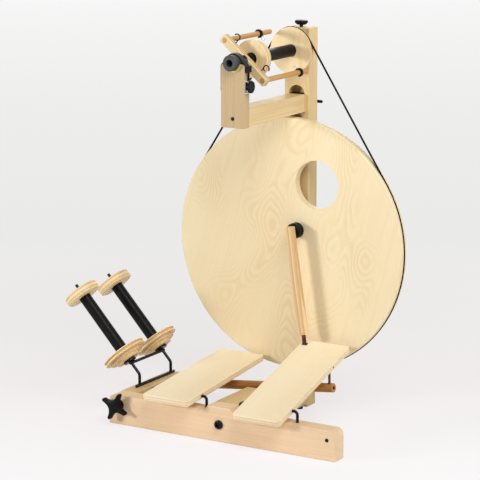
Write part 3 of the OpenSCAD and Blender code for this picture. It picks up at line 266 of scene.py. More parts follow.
@cache
def handling_pattern() -> bpy.types.NodeTree:
    """Uneven gloss and fine pitting of a made surface, as slow noise and as fine noise.

    Returns:
        The group, with the outputs Gloss and Pits.
    """
    shade, given, result = pattern_start("handling", {"Vector": None, "Fine": 1400.0}, ("Gloss", "Pits"))
    vector = given.outputs["Vector"]
    fine = shade.add("ShaderNodeTexNoise", {"Vector": vector, "Scale": given.outputs["Fine"], "Detail": 2.0})
    links = {"Gloss": shade.noise(vector, (38, 38, 38), 3.0), "Pits": fine.outputs[0]}
    return pattern_end(shade, result, links)


@dataclass(frozen=True)
class GrainFrame:
    """Where a pattern lies on a piece: X of the pattern along the grain, and Z along the normal.

    Attributes:
        along: Direction of the grain.
        normal: Direction of a board's normal, or any direction square to the grain.
        middle: Point of the piece that becomes the pattern's origin.
    """

    along: Vector
    normal: Vector
    middle: Vector

    def coordinates(self, shade: Shade) -> Socket:
        """Add the nodes that turn Object coordinates into the pattern's own.

        Args:
            shade: The material's tree.

        Returns:
            The pattern's coordinates.
        """
        first = self.along.normalized()
        third = (self.normal - first * self.normal.dot(first)).normalized()
        turn = Matrix((first, third.cross(first), third))
        values = {
            "Vector": shade.add("ShaderNodeTexCoord").outputs["Object"],
            "Rotation": turn.to_euler("XYZ"), "Location": -(turn @ self.middle)}
        return shade.add("ShaderNodeMapping", values, vector_type="POINT").outputs[0]


def new_material(name: str) -> tuple[bpy.types.Material, Shade, bpy.types.Node]:
    """Make a material.

    Args:
        name: The material's name.

    Returns:
        The material, its Shade and its Principled shader.
    """
    material = bpy.data.materials.new(name)
    material.use_nodes = True
    return material, Shade(material.node_tree), material.node_tree.nodes["Principled BSDF"]


def seen_ray(shade: Shade) -> Socket:
    """Give 1 where the floor or the surroundings are looked at, directly or mirrored, and 0 where they light.

    Args:
        shade: The material's tree.

    Returns:
        The mask.
    """
    rays = shade.add("ShaderNodeLightPath").outputs
    seen = shade.math("MAXIMUM", rays["Is Camera Ray"], rays["Is Glossy Ray"])
    return shade.math("MAXIMUM", seen, rays["Is Transmission Ray"])


def connect(shade: Shade, shader: bpy.types.Node, colour: Socket, rough: Socket, height: Socket,
            depth: float) -> None:
    """Link a finish's colour, roughness and relief to its shader.

    Args:
        shade: The material's tree.
        shader: The Principled shader.
        colour, rough, height: What changes over the surface.
        depth: How deep the relief is, in metres.
    """
    bump = shade.add("ShaderNodeBump", {"Height": height, "Distance": depth, "Strength": 0.6})
    shade.tree.links.new(colour, shader.inputs["Base Color"])
    shade.tree.links.new(rough, shader.inputs["Roughness"])
    shade.tree.links.new(bump.outputs[0], shader.inputs["Normal"])


# Finishes


@dataclass(frozen=True)
class SolidTimber:
    """Oiled solid wood.

    Attributes:
        slot: The record's material slot.
        pale, dark: Colours of early and late wood, as on a screen.
        fleck: Colour of the short ray flecks.
        ring_width: Width of a growth ring.
        ring_share, streak_share, fleck_share: How strongly the rings, the streaks and the flecks show.
    """

    slot: str
    pale: tuple[int, int, int]
    dark: tuple[int, int, int]
    fleck: tuple[int, int, int]
    ring_width: float
    ring_share: float = 0.22
    streak_share: float = 0.3
    fleck_share: float = 0.25

    def material(self, piece: str, grain: GrainFrame) -> bpy.types.Material:
        """Make this wood for one piece, with its own grain.

        Args:
            piece: The piece's name.
            grain: Where the grain lies.

        Returns:
            The material.
        """
        material, shade, shader = new_material(f"{self.slot}_{piece}")
        wood = shade.group(
            timber_pattern(), Vector=grain.coordinates(shade), Ring_Width=self.ring_width, Pith=0.09)
        rings = shade.math("MULTIPLY", wood.outputs["Rings"], self.ring_share)
        streak = shade.ramp(wood.outputs["Streak"], 0.35, 0.75, 0.0, self.streak_share)
        colour = shade.mix(rings, srgb(*self.pale), srgb(*self.dark))
        colour = shade.mix(streak, colour, srgb(*self.dark))
        fleck = shade.math("MULTIPLY", wood.outputs["Fleck"], self.fleck_share)
        colour = shade.mix(fleck, colour, srgb(*self.fleck))
        rough = shade.ramp(wood.outputs["Fibre"], 0.2, 0.8, 0.4, 0.56)
        height = shade.math("SUBTRACT", wood.outputs["Fibre"], fleck)
        connect(shade, shader, colour, rough, height, TIMBER_RELIEF)
        shader.inputs["Specular IOR Level"].default_value = WOOD_GLOSS
        return material


@dataclass(frozen=True)
class LayeredPly:
    """Oiled plywood with a peeled face veneer.

    Attributes:
        slot: The record's material slot.
        pale, dark: Colours of the veneer, as on a screen.
        end_grain: Colour of the cross layers on an edge.
        figure: How strongly the face's height lines show.
        lines: How many height lines the figure has.
        layer_depth: Thickness of a layer.
        edge: How strongly the layers show on an edge.
    """

    slot: str
    pale: tuple[int, int, int]
    dark: tuple[int, int, int]
    end_grain: tuple[int, int, int]
    figure: float
    lines: float
    layer_depth: float
    edge: float

    def material(self, piece: str, grain: GrainFrame, thickness: float) -> bpy.types.Material:
        """Make this plywood for one board.

        Args:
            piece: The piece's name.
            grain: Where the face grain and the board's middle plane lie.
            thickness: The board's thickness.

        Returns:
            The material.
        """
        material, shade, shader = new_material(f"{self.slot}_{piece}")
        ply = shade.group(
            veneer_pattern(), Vector=grain.coordinates(shade), Half=thickness / 2,
            Layer_Depth=self.layer_depth, Lines=self.lines)
        figure = shade.math("MULTIPLY", ply.outputs["Figure"], self.figure)
        tone = shade.ramp(ply.outputs["Tone"], 0.3, 0.75, 0.0, 0.22)
        streak = shade.ramp(ply.outputs["Streak"], 0.4, 0.8, 0.0, 0.14)
        face = shade.mix(tone, srgb(*self.pale), srgb(*self.dark))
        face = shade.mix(shade.math("MAXIMUM", figure, streak), face, srgb(*self.dark))
        layer = shade.math("MULTIPLY", ply.outputs["Layer"], self.edge)
        colour = shade.mix(layer, face, srgb(*self.end_grain))
        glue = shade.math("MULTIPLY", ply.outputs["Glue"], self.edge * 0.6)
        colour = shade.mix(glue, colour, srgb(*GLUE_LINE))
        rough = shade.ramp(ply.outputs["Fibre"], 0.2, 0.8, 0.38, 0.54)
        height = shade.math("MULTIPLY_ADD", layer, -0.8, ply.outputs["Fibre"])
        connect(shade, shader, colour, rough, height, PLY_RELIEF)
        shader.inputs["Specular IOR Level"].default_value = WOOD_GLOSS
        return material


@dataclass(frozen=True)
class MadeSurface:
    """A plain made surface: moulded plastic, lacquered or bright steel, or rubber.

    Attributes:
        slot: The record's material slot.
        colour, worn: Its colour, and the colour where it is rubbed or dusty, as on a screen.
        rough: Lowest and highest roughness.
        fine: Scale of its pitting, in waves per metre.
        depth: Depth of its pitting.
        metallic: 1 for bare metal.
        specular: Level of its plain reflection, where 0.5 is that of most glossy things.
    """

    slot: str
    colour: tuple[int, int, int]
    worn: tuple[int, int, int]
    rough: tuple[float, float]
    fine: float = 1400.0
    depth: float = 0.00004
    metallic: float = 0.0
    specular: float = 0.5

    def material(self) -> bpy.types.Material:
        """Make this finish, or give the one already made.

        Returns:
            The material.
        """
        name = f"{self.slot}_finish"
        if name in bpy.data.materials:
            return bpy.data.materials[name]
        material, shade, shader = new_material(name)
        place = shade.add("ShaderNodeTexCoord").outputs["Object"]
        marks = shade.group(handling_pattern(), Vector=place, Fine=self.fine)
        colour = shade.mix(
            shade.ramp(marks.outputs["Gloss"], 0.45, 0.8, 0.0, 0.6), srgb(*self.colour), srgb(*self.worn))
        rough = shade.ramp(marks.outputs["Gloss"], 0.3, 0.7, *self.rough)
        connect(shade, shader, colour, rough, marks.outputs["Pits"], self.depth)
        shader.inputs["Metallic"].default_value = self.metallic
        shader.inputs["Specular IOR Level"].default_value = self.specular
        return material


@dataclass(frozen=True)
class Leather:
    """Leather with a pebbled grain side, darker in the creases between the pebbles, and lighter rubbed patches.

    Attributes:
        slot: The record's material slot.
        colour, crease: Colours of the pebbles and of the creases between them, as on a screen.
        pebbles, pores: Scales of the pebbles and of the fine pits.
    """

    slot: str
    colour: tuple[int, int, int]
    crease: tuple[int, int, int]
    pebbles: float = 900.0
    pores: float = 2600.0

    def material(self) -> bpy.types.Material:
        """Make this leather, or give the one already made.

        Returns:
            The material.
        """
        name = f"{self.slot}_finish"
        if name in bpy.data.materials:
            return bpy.data.materials[name]
        material, shade, shader = new_material(name)
        place = shade.add("ShaderNodeTexCoord").outputs["Object"]
        marks = shade.group(handling_pattern(), Vector=place, Fine=self.pores)
        cells = shade.add(
            "ShaderNodeTexVoronoi", {"Vector": place, "Scale": self.pebbles}, feature="DISTANCE_TO_EDGE")
        pebble = shade.ramp(cells.outputs[0], 0.0, 0.25)
        colour = shade.mix(pebble, srgb(*self.crease), srgb(*self.colour))
        rubbed = shade.ramp(marks.outputs["Gloss"], 0.5, 0.75, 0.0, 0.45)
        colour = shade.mix(rubbed, colour, srgb(*(min(255, part * 2 + 14) for part in self.colour)))
        rough = shade.ramp(marks.outputs["Gloss"], 0.3, 0.7, 0.62, 0.42)
        height = shade.math("MULTIPLY_ADD", marks.outputs["Pits"], 0.3, pebble)
        connect(shade, shader, colour, rough, height, LEATHER_RELIEF)
        shader.inputs["Specular IOR Level"].default_value = LEATHER_GLOSS
        return material


BEECH = SolidTimber(
    "beech_wood", (242, 213, 178), (218, 178, 134), (190, 146, 104), 0.0036, 0.16, 0.3, 0.3)
ARM_BEECH = SolidTimber(
    "beech_wood", (208, 162, 100), (178, 128, 72), (156, 106, 58), 0.004, 0.2, 0.4, 0.3)
DARK_BEECH = SolidTimber(
    "beech_wood", (188, 136, 74), (150, 98, 48), (122, 78, 38), 0.004, 0.25, 0.4, 0.3)
BIRCH = SolidTimber(
    "birch_wood", (232, 207, 156), (208, 174, 120), (188, 150, 98), 0.0052, 0.18, 0.35, 0.15)
BOARD_BIRCH = SolidTimber(
    "birch_wood", (204, 178, 138), (178, 146, 102), (160, 124, 82), 0.0046, 0.2, 0.4, 0.3)
SPINE_BIRCH = SolidTimber(
    "birch_wood", (224, 196, 146), (196, 160, 106), (176, 138, 88), 0.0046, 0.2, 0.4, 0.2)
STRIPED_BIRCH = SolidTimber(
    "birch_wood", (242, 213, 164), (182, 136, 84), (196, 156, 106), 0.0082, 0.6, 0.25, 0.15)
WHEEL_PLY = LayeredPly(
    "birch_ply", (246, 229, 190), (214, 178, 124), (214, 182, 134), 0.3, 34.0, 0.0014, 0.16)
TREADLE_PLY = LayeredPly(
    "birch_ply", (250, 234, 200), (226, 196, 148), (206, 168, 116), 0.14, 26.0, 0.0022, 0.3)
TURNED_PLY = LayeredPly(
    "beech_wood", (248, 224, 178), (214, 176, 120), (196, 150, 94), 0.25, 12.0, 0.0027, 0.55)
BAR_PLY = LayeredPly(
    "beech_wood", (240, 216, 168), (206, 168, 112), (172, 126, 76), 0.25, 12.0, 0.0028, 0.8)
BLACK_PLASTIC = MadeSurface("black_plastic", (5, 5, 5), (11, 11, 11), (0.32, 0.46), specular=0.12)
GRAPHITE = MadeSurface("graphite_plastic", (60, 61, 62), (72, 73, 73), (0.4, 0.55), specular=0.3)
BLACK_STEEL = MadeSurface("black_steel", (6, 6, 6), (14, 14, 14), (0.16, 0.3), 2200.0, 0.00002, specular=0.22)
BRIGHT_STEEL = MadeSurface(
    "bright_steel", (200, 200, 204), (168, 168, 172), (0.2, 0.36), 3000.0, 0.00001, 1.0)
YELLOW_NYLON = MadeSurface("yellow_nylon", (226, 212, 120), (206, 190, 104), (0.4, 0.55))
RUBBER = MadeSurface("black_rubber", (8, 8, 8), (16, 16, 15), (0.55, 0.75), 1800.0, 0.00006, specular=0.15)
BLACK_LEATHER = Leather("black_leather", (14, 13, 13), (6, 6, 6))
RED_LEATHER = Leather("red_leather", (96, 34, 24), (52, 18, 12))
Finish = SolidTimber | LayeredPly | MadeSurface | Leather


# Surfaces


def mesh_object(name: str, points: np.ndarray, faces: list[np.ndarray]) -> bpy.types.Object:
    """Put points and faces into a new mesh object at the origin.

    Args:
        name: The piece's name.
        points: Its points, one row each.
        faces: Arrays of faces, each with as many columns as its faces have corners.

    Returns:
        The object, smooth apart from its sharp edges.
    """
    mesh = bpy.data.meshes.new(name)
    corners = np.concatenate([group.ravel() for group in faces]).astype(np.int32)
    sizes = np.concatenate([np.full(len(group), group.shape[1]) for group in faces]).astype(np.int32)
    mesh.vertices.add(len(points))
    mesh.vertices.foreach_set("co", np.asarray(points, np.float32).ravel())
    mesh.loops.add(len(corners))
    mesh.loops.foreach_set("vertex_index", corners)
    mesh.polygons.add(len(sizes))
    mesh.polygons.foreach_set("loop_start", np.concatenate(([0], np.cumsum(sizes)[:-1])).astype(np.int32))
    mesh.update(calc_edges=True)
    mesh.validate()
    return finished(name, mesh)


def finished(name: str, mesh: bpy.types.Mesh) -> bpy.types.Object:
    """Link a mesh as an object with outward faces.

    Args:
        name: The object's name.
        mesh: The mesh, which is cleaned in place.

    Returns:
        The object, smooth apart from its sharp edges.
    """
    work = bmesh.new()
    work.from_mesh(mesh)
    bmesh.ops.remove_doubles(work, verts=work.verts, dist=1e-7)
    bmesh.ops.recalc_face_normals(work, faces=work.faces)
    work.to_mesh(mesh)
    work.free()
    mesh.shade_smooth()
    mesh.set_sharp_from_angle(angle=SMOOTH_BELOW)
    piece = bpy.data.objects.new(name, mesh)
    bpy.context.scene.collection.objects.link(piece)
    return piece


def grid_faces(rows: int, columns: int, wrap_rows: bool) -> np.ndarray:
    """Number the quads of a grid whose columns always close on themselves.

    Args:
        rows, columns: Points each way.
        wrap_rows: Whether the last row joins the first.

    Returns:
        One row of four point numbers for each quad.
    """
    row = np.arange(rows if wrap_rows else rows - 1)[:, None]
    column = np.arange(columns)[None, :]
    below, after = (row + 1) % rows, (column + 1) % columns
    corners = ((row, column), (row, after), (below, after), (below, column))
    return np.stack(np.broadcast_arrays(*(r * columns + c for r, c in corners)), axis=-1).reshape(-1, 4)


def grid_object(name: str, rings: np.ndarray, wrap: bool = False) -> bpy.types.Object:
    """Make a closed surface from rings of points.

    Args:
        name: The piece's name.
        rings: Points, as rings by points on a ring by three.
        wrap: Whether the last ring joins the first. Otherwise both ends get a cap.

    Returns:
        The object.
    """
    count, around = rings.shape[:2]
    faces = [grid_faces(count, around, wrap)]
    if not wrap:
        last = (count - 1) * around
        faces.append(np.arange(around)[::-1][None, :])
        faces.append(np.arange(around)[None, :] + last)
    return mesh_object(name, rings.reshape(-1, 3), faces)


def swept_rings(path: np.ndarray, binormal: Vector, profile: np.ndarray, closed: bool = False) -> np.ndarray:
    """Carry a profile along a path that lies in one plane.

    At each point of the path the profile's first part runs along the path's normal, which is the cross
    product of the plane's binormal and the path's tangent, and its second part runs along the binormal.

    Args:
        path: Points of the path, one row each.
        binormal: Direction square to the path's plane.
        profile: Points of the profile as normal and binormal offsets, or one such set for each of the path's.
        closed: Whether the path is a loop.

    Returns:
        Rings of points.
    """
    if closed:
        tangent = np.roll(path, -1, 0) - np.roll(path, 1, 0)
    else:
        tangent = np.gradient(path, axis=0)
    tangent /= np.linalg.norm(tangent, axis=1, keepdims=True)
    across = np.array(binormal.normalized())
    normal = np.cross(across, tangent)
    if profile.ndim == 2:
        profile = np.broadcast_to(profile, (len(path), *profile.shape))
    return path[:, None] + profile[..., :1] * normal[:, None] + profile[..., 1:] * across


def round_profile(radius: float, sides: int = 16) -> np.ndarray:
    """Give a circle as normal and binormal offsets."""
    angle = np.linspace(0, 2 * np.pi, sides, endpoint=False)
    return radius * np.stack((np.cos(angle), np.sin(angle)), axis=-1)


def band_profile(thick: float, width: float, sides: int = 32, power: float = 5.0) -> np.ndarray:
    """Give a rectangle with soft corners, as a superellipse of that power.

    Args:
        thick: Size along the normal.
        width: Size along the binormal.
        sides: Points of the profile.
        power: Higher is squarer.

    Returns:
        The profile's points.
    """
    angle = np.linspace(0, 2 * np.pi, sides, endpoint=False)
    wave = np.stack((np.cos(angle), np.sin(angle)), axis=-1)
    return np.sign(wave) * np.abs(wave) ** (2 / power) * np.array((thick, width)) / 2


def filleted(corners: list[tuple[float, float, float]], radius: float, steps: int = 8) -> np.ndarray:
    """Give a bent line through corners, with each inner corner replaced by an arc.

    Args:
        corners: The line's corners.
        radius: The arcs' radius.
        steps: Points of each arc after its first.

    Returns:
        The line's points.
    """
    points = [np.array(corners[0], float)]
    for before, corner, after in zip(corners, corners[1:], corners[2:]):
        corner = np.array(corner, float)
        back, ahead = np.array(before) - corner, np.array(after) - corner
        back, ahead = back / np.linalg.norm(back), ahead / np.linalg.norm(ahead)
        half = math.acos(np.clip(back @ ahead, -1, 1)) / 2
        middle = corner + (back + ahead) / np.linalg.norm(back + ahead) * radius / math.sin(half)
        start = corner + back * radius / math.tan(half) - middle
        end = corner + ahead * radius / math.tan(half) - middle
        share = np.linspace(0, 1, steps + 1)[:, None]
        swing = math.pi - 2 * half
        blend = np.sin((1 - share) * swing) * start + np.sin(share * swing) * end
        points.extend(middle + blend / math.sin(swing))
    points.append(np.array(corners[-1], float))
    return np.array(points)


def distances(path: np.ndarray) -> np.ndarray:
    """Give the distance along a path at each of its points."""
    return np.concatenate(([0], np.cumsum(np.linalg.norm(np.diff(path, axis=0), axis=1))))


def points_at(path: np.ndarray, place: np.ndarray) -> np.ndarray:
    """Give the points that lie at some distances along a path."""
    steps = distances(path)
    return np.stack([np.interp(place, steps, path[:, part]) for part in range(3)], axis=-1)


def arc_points(radius: float, angle: np.ndarray, y: float, z: float) -> np.ndarray:
    """Give points of an arc about an axis along Y, with its angles from +X."""
    return np.stack((radius * np.cos(angle), np.full(len(angle), y), z + radius * np.sin(angle)), axis=-1)


def round_rod(name: str, path: np.ndarray, binormal: Vector, radius: float) -> bpy.types.Object:
    """Carry a round wire along a path, with round ends whose radius falls off as on a sphere.

    Args:
        name: The piece's name.
        path: Points of the path, one row each.
        binormal: Direction square to the path's plane.
        radius: The wire's radius.

    Returns:
        The object.
    """
    length = distances(path)[-1]
    angle = np.linspace(0, np.pi / 2, 7)[1:]
    cap = radius * (1 - np.cos(angle))
    place = np.concatenate((cap, np.linspace(radius, length - radius, 60)[1:-1], length - cap[::-1]))
    points = points_at(path, place)
    near = np.clip(np.minimum(place, length - place) / radius, 0, 1)
    share = np.sqrt(1 - (1 - near) ** 2)
    profile = round_profile(radius)[None] * share[:, None, None]
    return grid_object(name, swept_rings(points, binormal, profile))


def lathed(name: str, profile: list[tuple[float, float]], middle: Vector, axis: Vector,
           around: int = 72) -> bpy.types.Object:
    """Turn a profile about an axis.

    Args:
        name: The piece's name.
        profile: Radius and height of each point of the profile, from end to end.
        middle: Point of the axis at height 0.
        axis: Direction of the axis.
        around: Points on each ring.

    Returns:
        The object.
    """
    turn = np.array(UP.rotation_difference(axis).to_matrix())
    angle = np.linspace(0, 2 * np.pi, around, endpoint=False)
    radius, height = np.array(profile, float).T
    rings = np.stack(np.broadcast_arrays(
        radius[:, None] * np.cos(angle), radius[:, None] * np.sin(angle), height[:, None]), axis=-1)
    return grid_object(name, rings @ turn.T + np.array(middle))


def arc_profile(centre: tuple[float, float], radius: float, start: float, end: float,
                steps: int = 8) -> list[tuple[float, float]]:
    """Give points of an arc of a lathe profile, between two angles in degrees."""
    angle = np.radians(np.linspace(start, end, steps + 1))
    return list(zip(centre[0] + radius * np.cos(angle), centre[1] + radius * np.sin(angle)))


# Pieces and their bodies


def body_of_node(node: str) -> str:
    """Give the name of the body that a CAD node rides on."""
    return frame["nodes"][node]["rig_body"]


def paint(finish: MadeSurface, *nodes: str) -> None:
    """Give CAD nodes a finish.

    Args:
        finish: The finish, which names its slot in the record.
        nodes: The nodes' names.
    """
    material = finish.material()
    for node in nodes:
        piece = frame["nodes"][node]
        if not piece.material_slots:
            piece.data.materials.append(material)
        for place in piece.material_slots:
            place.material = material
        log.info("%s keeps its solid, in %s", node, material.name)


def install(piece: bpy.types.Object, finish: Finish, *nodes: str,
            material: bpy.types.Material | None = None) -> None:
    """Finish a new piece and put it in the place of CAD nodes.

    Args:
        piece: The new piece.
        finish: Its finish, which names its slot in the record.
        nodes: The nodes that it stands for, all on one body.
        material: The piece's own material, where it has one. Otherwise it gets the finish's common one.
    """
    material = material or finish.material()
    piece.data.materials.clear()
    piece.data.materials.append(material)
    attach(piece, body_of_node(nodes[0]))
    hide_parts(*nodes)
    log.info("%s stands for %s, in %s", piece.name, ", ".join(nodes), material.name)


def softened(node: str, width: float) -> bpy.types.Object:
    """Copy a CAD solid, join its loose triangles into faces and round its arrises.

    Args:
        node: The solid's node.
        width: Width of the rounding.

    Returns:
        The copy, named after the node.
    """
    mesh = frame["nodes"][node].data.copy()
    for label in ("custom_normal", "sharp_edge", "sharp_face"):
        if label in mesh.attributes:
            mesh.attributes.remove(mesh.attributes[label])
    work = bmesh.new()
    work.from_mesh(mesh)
    bmesh.ops.remove_doubles(work, verts=work.verts, dist=1e-6)
    bmesh.ops.dissolve_limit(
        work, angle_limit=FLAT_WITHIN, verts=work.verts, edges=work.edges, use_dissolve_boundaries=False)
    work.to_mesh(mesh)
    work.free()
    mesh.shade_smooth()
    mesh.set_sharp_from_angle(angle=ARRIS_ABOVE)
    piece = bpy.data.objects.new(f"{node}_softened", mesh)
    bpy.context.scene.collection.objects.link(piece)
    bevel = piece.modifiers.new("arrises", "BEVEL")
    bevel.width = width
    bevel.segments = ARRIS_STEPS
    bevel.limit_method = "ANGLE"
    bevel.angle_limit = ARRIS_ABOVE
    bevel.harden_normals = True
    return piece


def middle_of(node: str) -> Vector:
    """Give the middle of the box round a node."""
    low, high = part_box(node)
    return (low + high) / 2


def dress_timber(node: str, arris: float, wood: SolidTimber, along: Vector, normal: Vector) -> None:
    """Round a timber's arrises and run its grain through it.

    Args:
        node: The timber's node.
        arris: Width of the rounding.
        wood: Its wood.
        along: Direction of its grain.
        normal: Direction square to the grain.
    """
    grain = GrainFrame(along, normal, middle_of(node))
    install(softened(node, arris), wood, node, material=wood.material(node, grain))


def dress_ply(node: str, arris: float, ply: LayeredPly, grain: GrainFrame, thickness: float) -> None:
    """Round a plywood piece's arrises and lay its veneers in it."""
    install(softened(node, arris), ply, node, material=ply.material(node, grain, thickness))


def dress_made(node: str, arris: float, finish: MadeSurface) -> None:
    """Round the edges of a moulded or bent piece and give it its finish."""
    install(softened(node, arris), finish, node)


def socket_screw(name: str, head: Vector, axis: Vector, radius: float, dome: float, shank: float,
                 length: float) -> bpy.types.Object:
    """Make a domed screw with a six-sided socket.

    Rings run from the socket's floor up its walls, over the dome and down the shank. The socket's rings have
    the radius of a hexagon: its flat distance over the cosine of the angle from the nearest flat's middle.

    Args:
        name: The piece's name.
        head: Middle of the face that the head sits on.
        axis: Direction out of that face.
        radius: The head's radius.
        dome: The head's height.
        shank: The shank's radius.
        length: The shank's length.

    Returns:
        The object.
    """
    around = 48
    flat, floor = radius * 0.4, dome * 0.35
    crest, foot = 0.62, 0.25
    angle = np.linspace(0, 2 * np.pi, around, endpoint=False)
    hexagon = flat / np.cos((angle + np.pi / 6) % (np.pi / 3) - np.pi / 6)
    circle = np.ones(around)
    share = np.linspace(0.0, 1.0, 7)
    over_r = radius * (crest + (1 - crest) * np.sin(share * np.pi / 2))
    over_z = dome * (foot + (1 - foot) * np.cos(share * np.pi / 2) ** 0.8)
    rows = [(hexagon * 0.05, floor), (hexagon * 0.96, floor)]
    rows += [(hexagon, dome * 0.93), (hexagon * 1.08, dome)]
    rows += [(circle * r, z) for r, z in zip(over_r, over_z)]
    rows += [(circle * radius, 0.0), (circle * shank, 0.0)]
    rows += [(circle * shank, -length), (circle * shank * 0.1, -length)]
    rings = np.stack([
        np.stack((r * np.cos(angle), r * np.sin(angle), np.full(around, z)), axis=-1) for r, z in rows])
    turn = np.array(UP.rotation_difference(axis).to_matrix())
    return grid_object(name, rings @ turn.T + np.array(head))


def joined(name: str, pieces: list[bpy.types.Object]) -> bpy.types.Object:
    """Join separate solids of one node into one piece.

    Args:
        name: The piece's name.
        pieces: The solids, which are used up.

    Returns:
        The joined object.
    """
    work = bmesh.new()
    for piece in pieces:
        work.from_mesh(piece.data)
    mesh = bpy.data.meshes.new(name)
    work.to_mesh(mesh)
    work.free()
    for piece in pieces:
        bpy.data.objects.remove(piece)
    return finished(name, mesh)


class Side(Enum):
    """The two treadles' sides, with the sign of X."""

    RIGHT = 1
    LEFT = -1


@dataclass
class Base:
    """Front beam, spine, post and their fasteners.

    Attributes:
        arris: Rounding of the timbers' edges.
        bolt_radius, bolt_dome, bolt_shank: Head and shank of the bolt in the beam.
    """

    arris: float = 0.9 * MM
    bolt_radius: float = 9 * MM
    bolt_dome: float = 5 * MM
    bolt_shank: float = 4 * MM

    def build(self) -> None:
        """Round the timbers, with their grain along their lengths, and dress the fittings."""
        dress_timber("front_beam", self.arris, BEECH, RIGHT, BACK)
        dress_timber("spine", self.arris, SPINE_BIRCH, BACK, UP)
        dress_timber("post", self.arris, BIRCH, UP, BACK)
        self.bolt()
        paint(BLACK_STEEL, "spine_bolts", "black_screws")
        paint(RUBBER, "rubber_feet")
        paint(GRAPHITE, "rocker_bracket")
        paint(BRIGHT_STEEL, "rocker_pin", "wheel_bearings")

    def bolt(self) -> None:
        """Make the beam's bolt with its socket."""
        seat = middle_of("beam_bolt")
        seat.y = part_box("front_beam")[0].y
        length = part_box("beam_bolt")[1].y - seat.y
        bolt = socket_screw(
            "beam_bolt_with_socket", seat, -BACK, self.bolt_radius, self.bolt_dome, self.bolt_shank, length)
        install(bolt, BLACK_STEEL, "beam_bolt")


@dataclass
class Treadle:
    """One treadle board with its hinge rod, pins and leather link.

    Attributes:
        side: Which of the two treadles it is.
        slope: The board's slope at rest, in degrees.
        thickness: The board's thickness.
        arris: Rounding of the board's edges.
        rod_radius: Radius of the hinge rod.
        link_width, link_thick: Size of the leather link.
        link_thin: Share of the link's thickness that its rim has.
    """

    side: Side
    slope: float
    thickness: float = 12 * MM
    arris: float = 0.8 * MM
    rod_radius: float = 2.8 * MM
    link_width: float = 7 * MM
    link_thick: float = 2.6 * MM
    link_thin: float = 0.55

    @property
    def name(self) -> str:
        """Give the side as a word."""
        return self.side.name.lower()

    def build(self) -> None:
        """Build the board and what hangs on it."""
        self.board()
        self.link()
        pins = "right_treadle_pins" if self.side is Side.RIGHT else "left_treadle_pin"
        paint(BLACK_STEEL, f"{self.name}_hinge_rod", pins)

    def board(self) -> None:
        """Round the board and lay its veneer along its slope."""
        node = f"{self.name}_treadle"
        tilt = Euler((math.radians(self.slope), 0, 0)).to_matrix()
        hinge = middle_of(f"{self.name}_hinge_rod")
        hinge.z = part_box(f"{self.name}_hinge_rod")[1].z - self.rod_radius
        dress_ply(node, self.arris, TREADLE_PLY, GrainFrame(tilt @ BACK, tilt @ UP, hinge), self.thickness)

    def link(self) -> None:
        """Make the leather link, a flat tab with round ends.

        The half width at a distance past either eye is that of a circle about the eye, and the tab's section
        is a soft rectangle of that width.
        """
        node = f"{self.name}_link"
        low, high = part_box(node)
        radius = self.link_width / 2
        lean = math.copysign(max(0.0, (high.y - low.y) - self.link_width), self.side.value)
        middle = middle_of(node)
        top = np.array((middle.x, middle.y - lean / 2, high.z - radius))
        foot = np.array((middle.x, middle.y + lean / 2, low.z + radius))
        length = np.linalg.norm(top - foot)
        along = (top - foot) / length
        turn = np.linspace(-np.pi / 2, np.pi / 2, 13)[1:-1]
        ends = np.sin(turn) * radius
        place = np.concatenate((ends[ends < 0], np.linspace(0, length, 14), length + ends[ends > 0]))
        past = np.clip(np.maximum(-place, place - length), 0, radius) / radius
        share = np.sqrt(1 - past ** 2)
        profile = band_profile(self.link_thick, self.link_width)
        thin = self.link_thin + (1 - self.link_thin) * share
        profiles = profile[None] * np.stack((thin, share), axis=-1)[:, None]
        width_way = np.cross(along, np.array(RIGHT))
        path = foot + place[:, None] * along
        rings = swept_rings(path, Vector(width_way), profiles)
        install(grid_object(f"{node}_leather", rings), RED_LEATHER, node)


@dataclass
class Rocker:
    """Round bar that joins the treadles.

    Attributes:
        arris: Rounding of the bar's ends.
        thick: Thickness of the bar.
    """

    arris: float = 0.8 * MM
    thick: float = 18 * MM

    def build(self) -> None:
        """Round the bar's ends and run its grain along it."""
        low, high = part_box("rocker")
        along = Vector((high.x - low.x, 0, high.z - low.z - self.thick))
        dress_timber("rocker", self.arris, DARK_BEECH, along, BACK)
        paint(BLACK_STEEL, "rocker_screws")


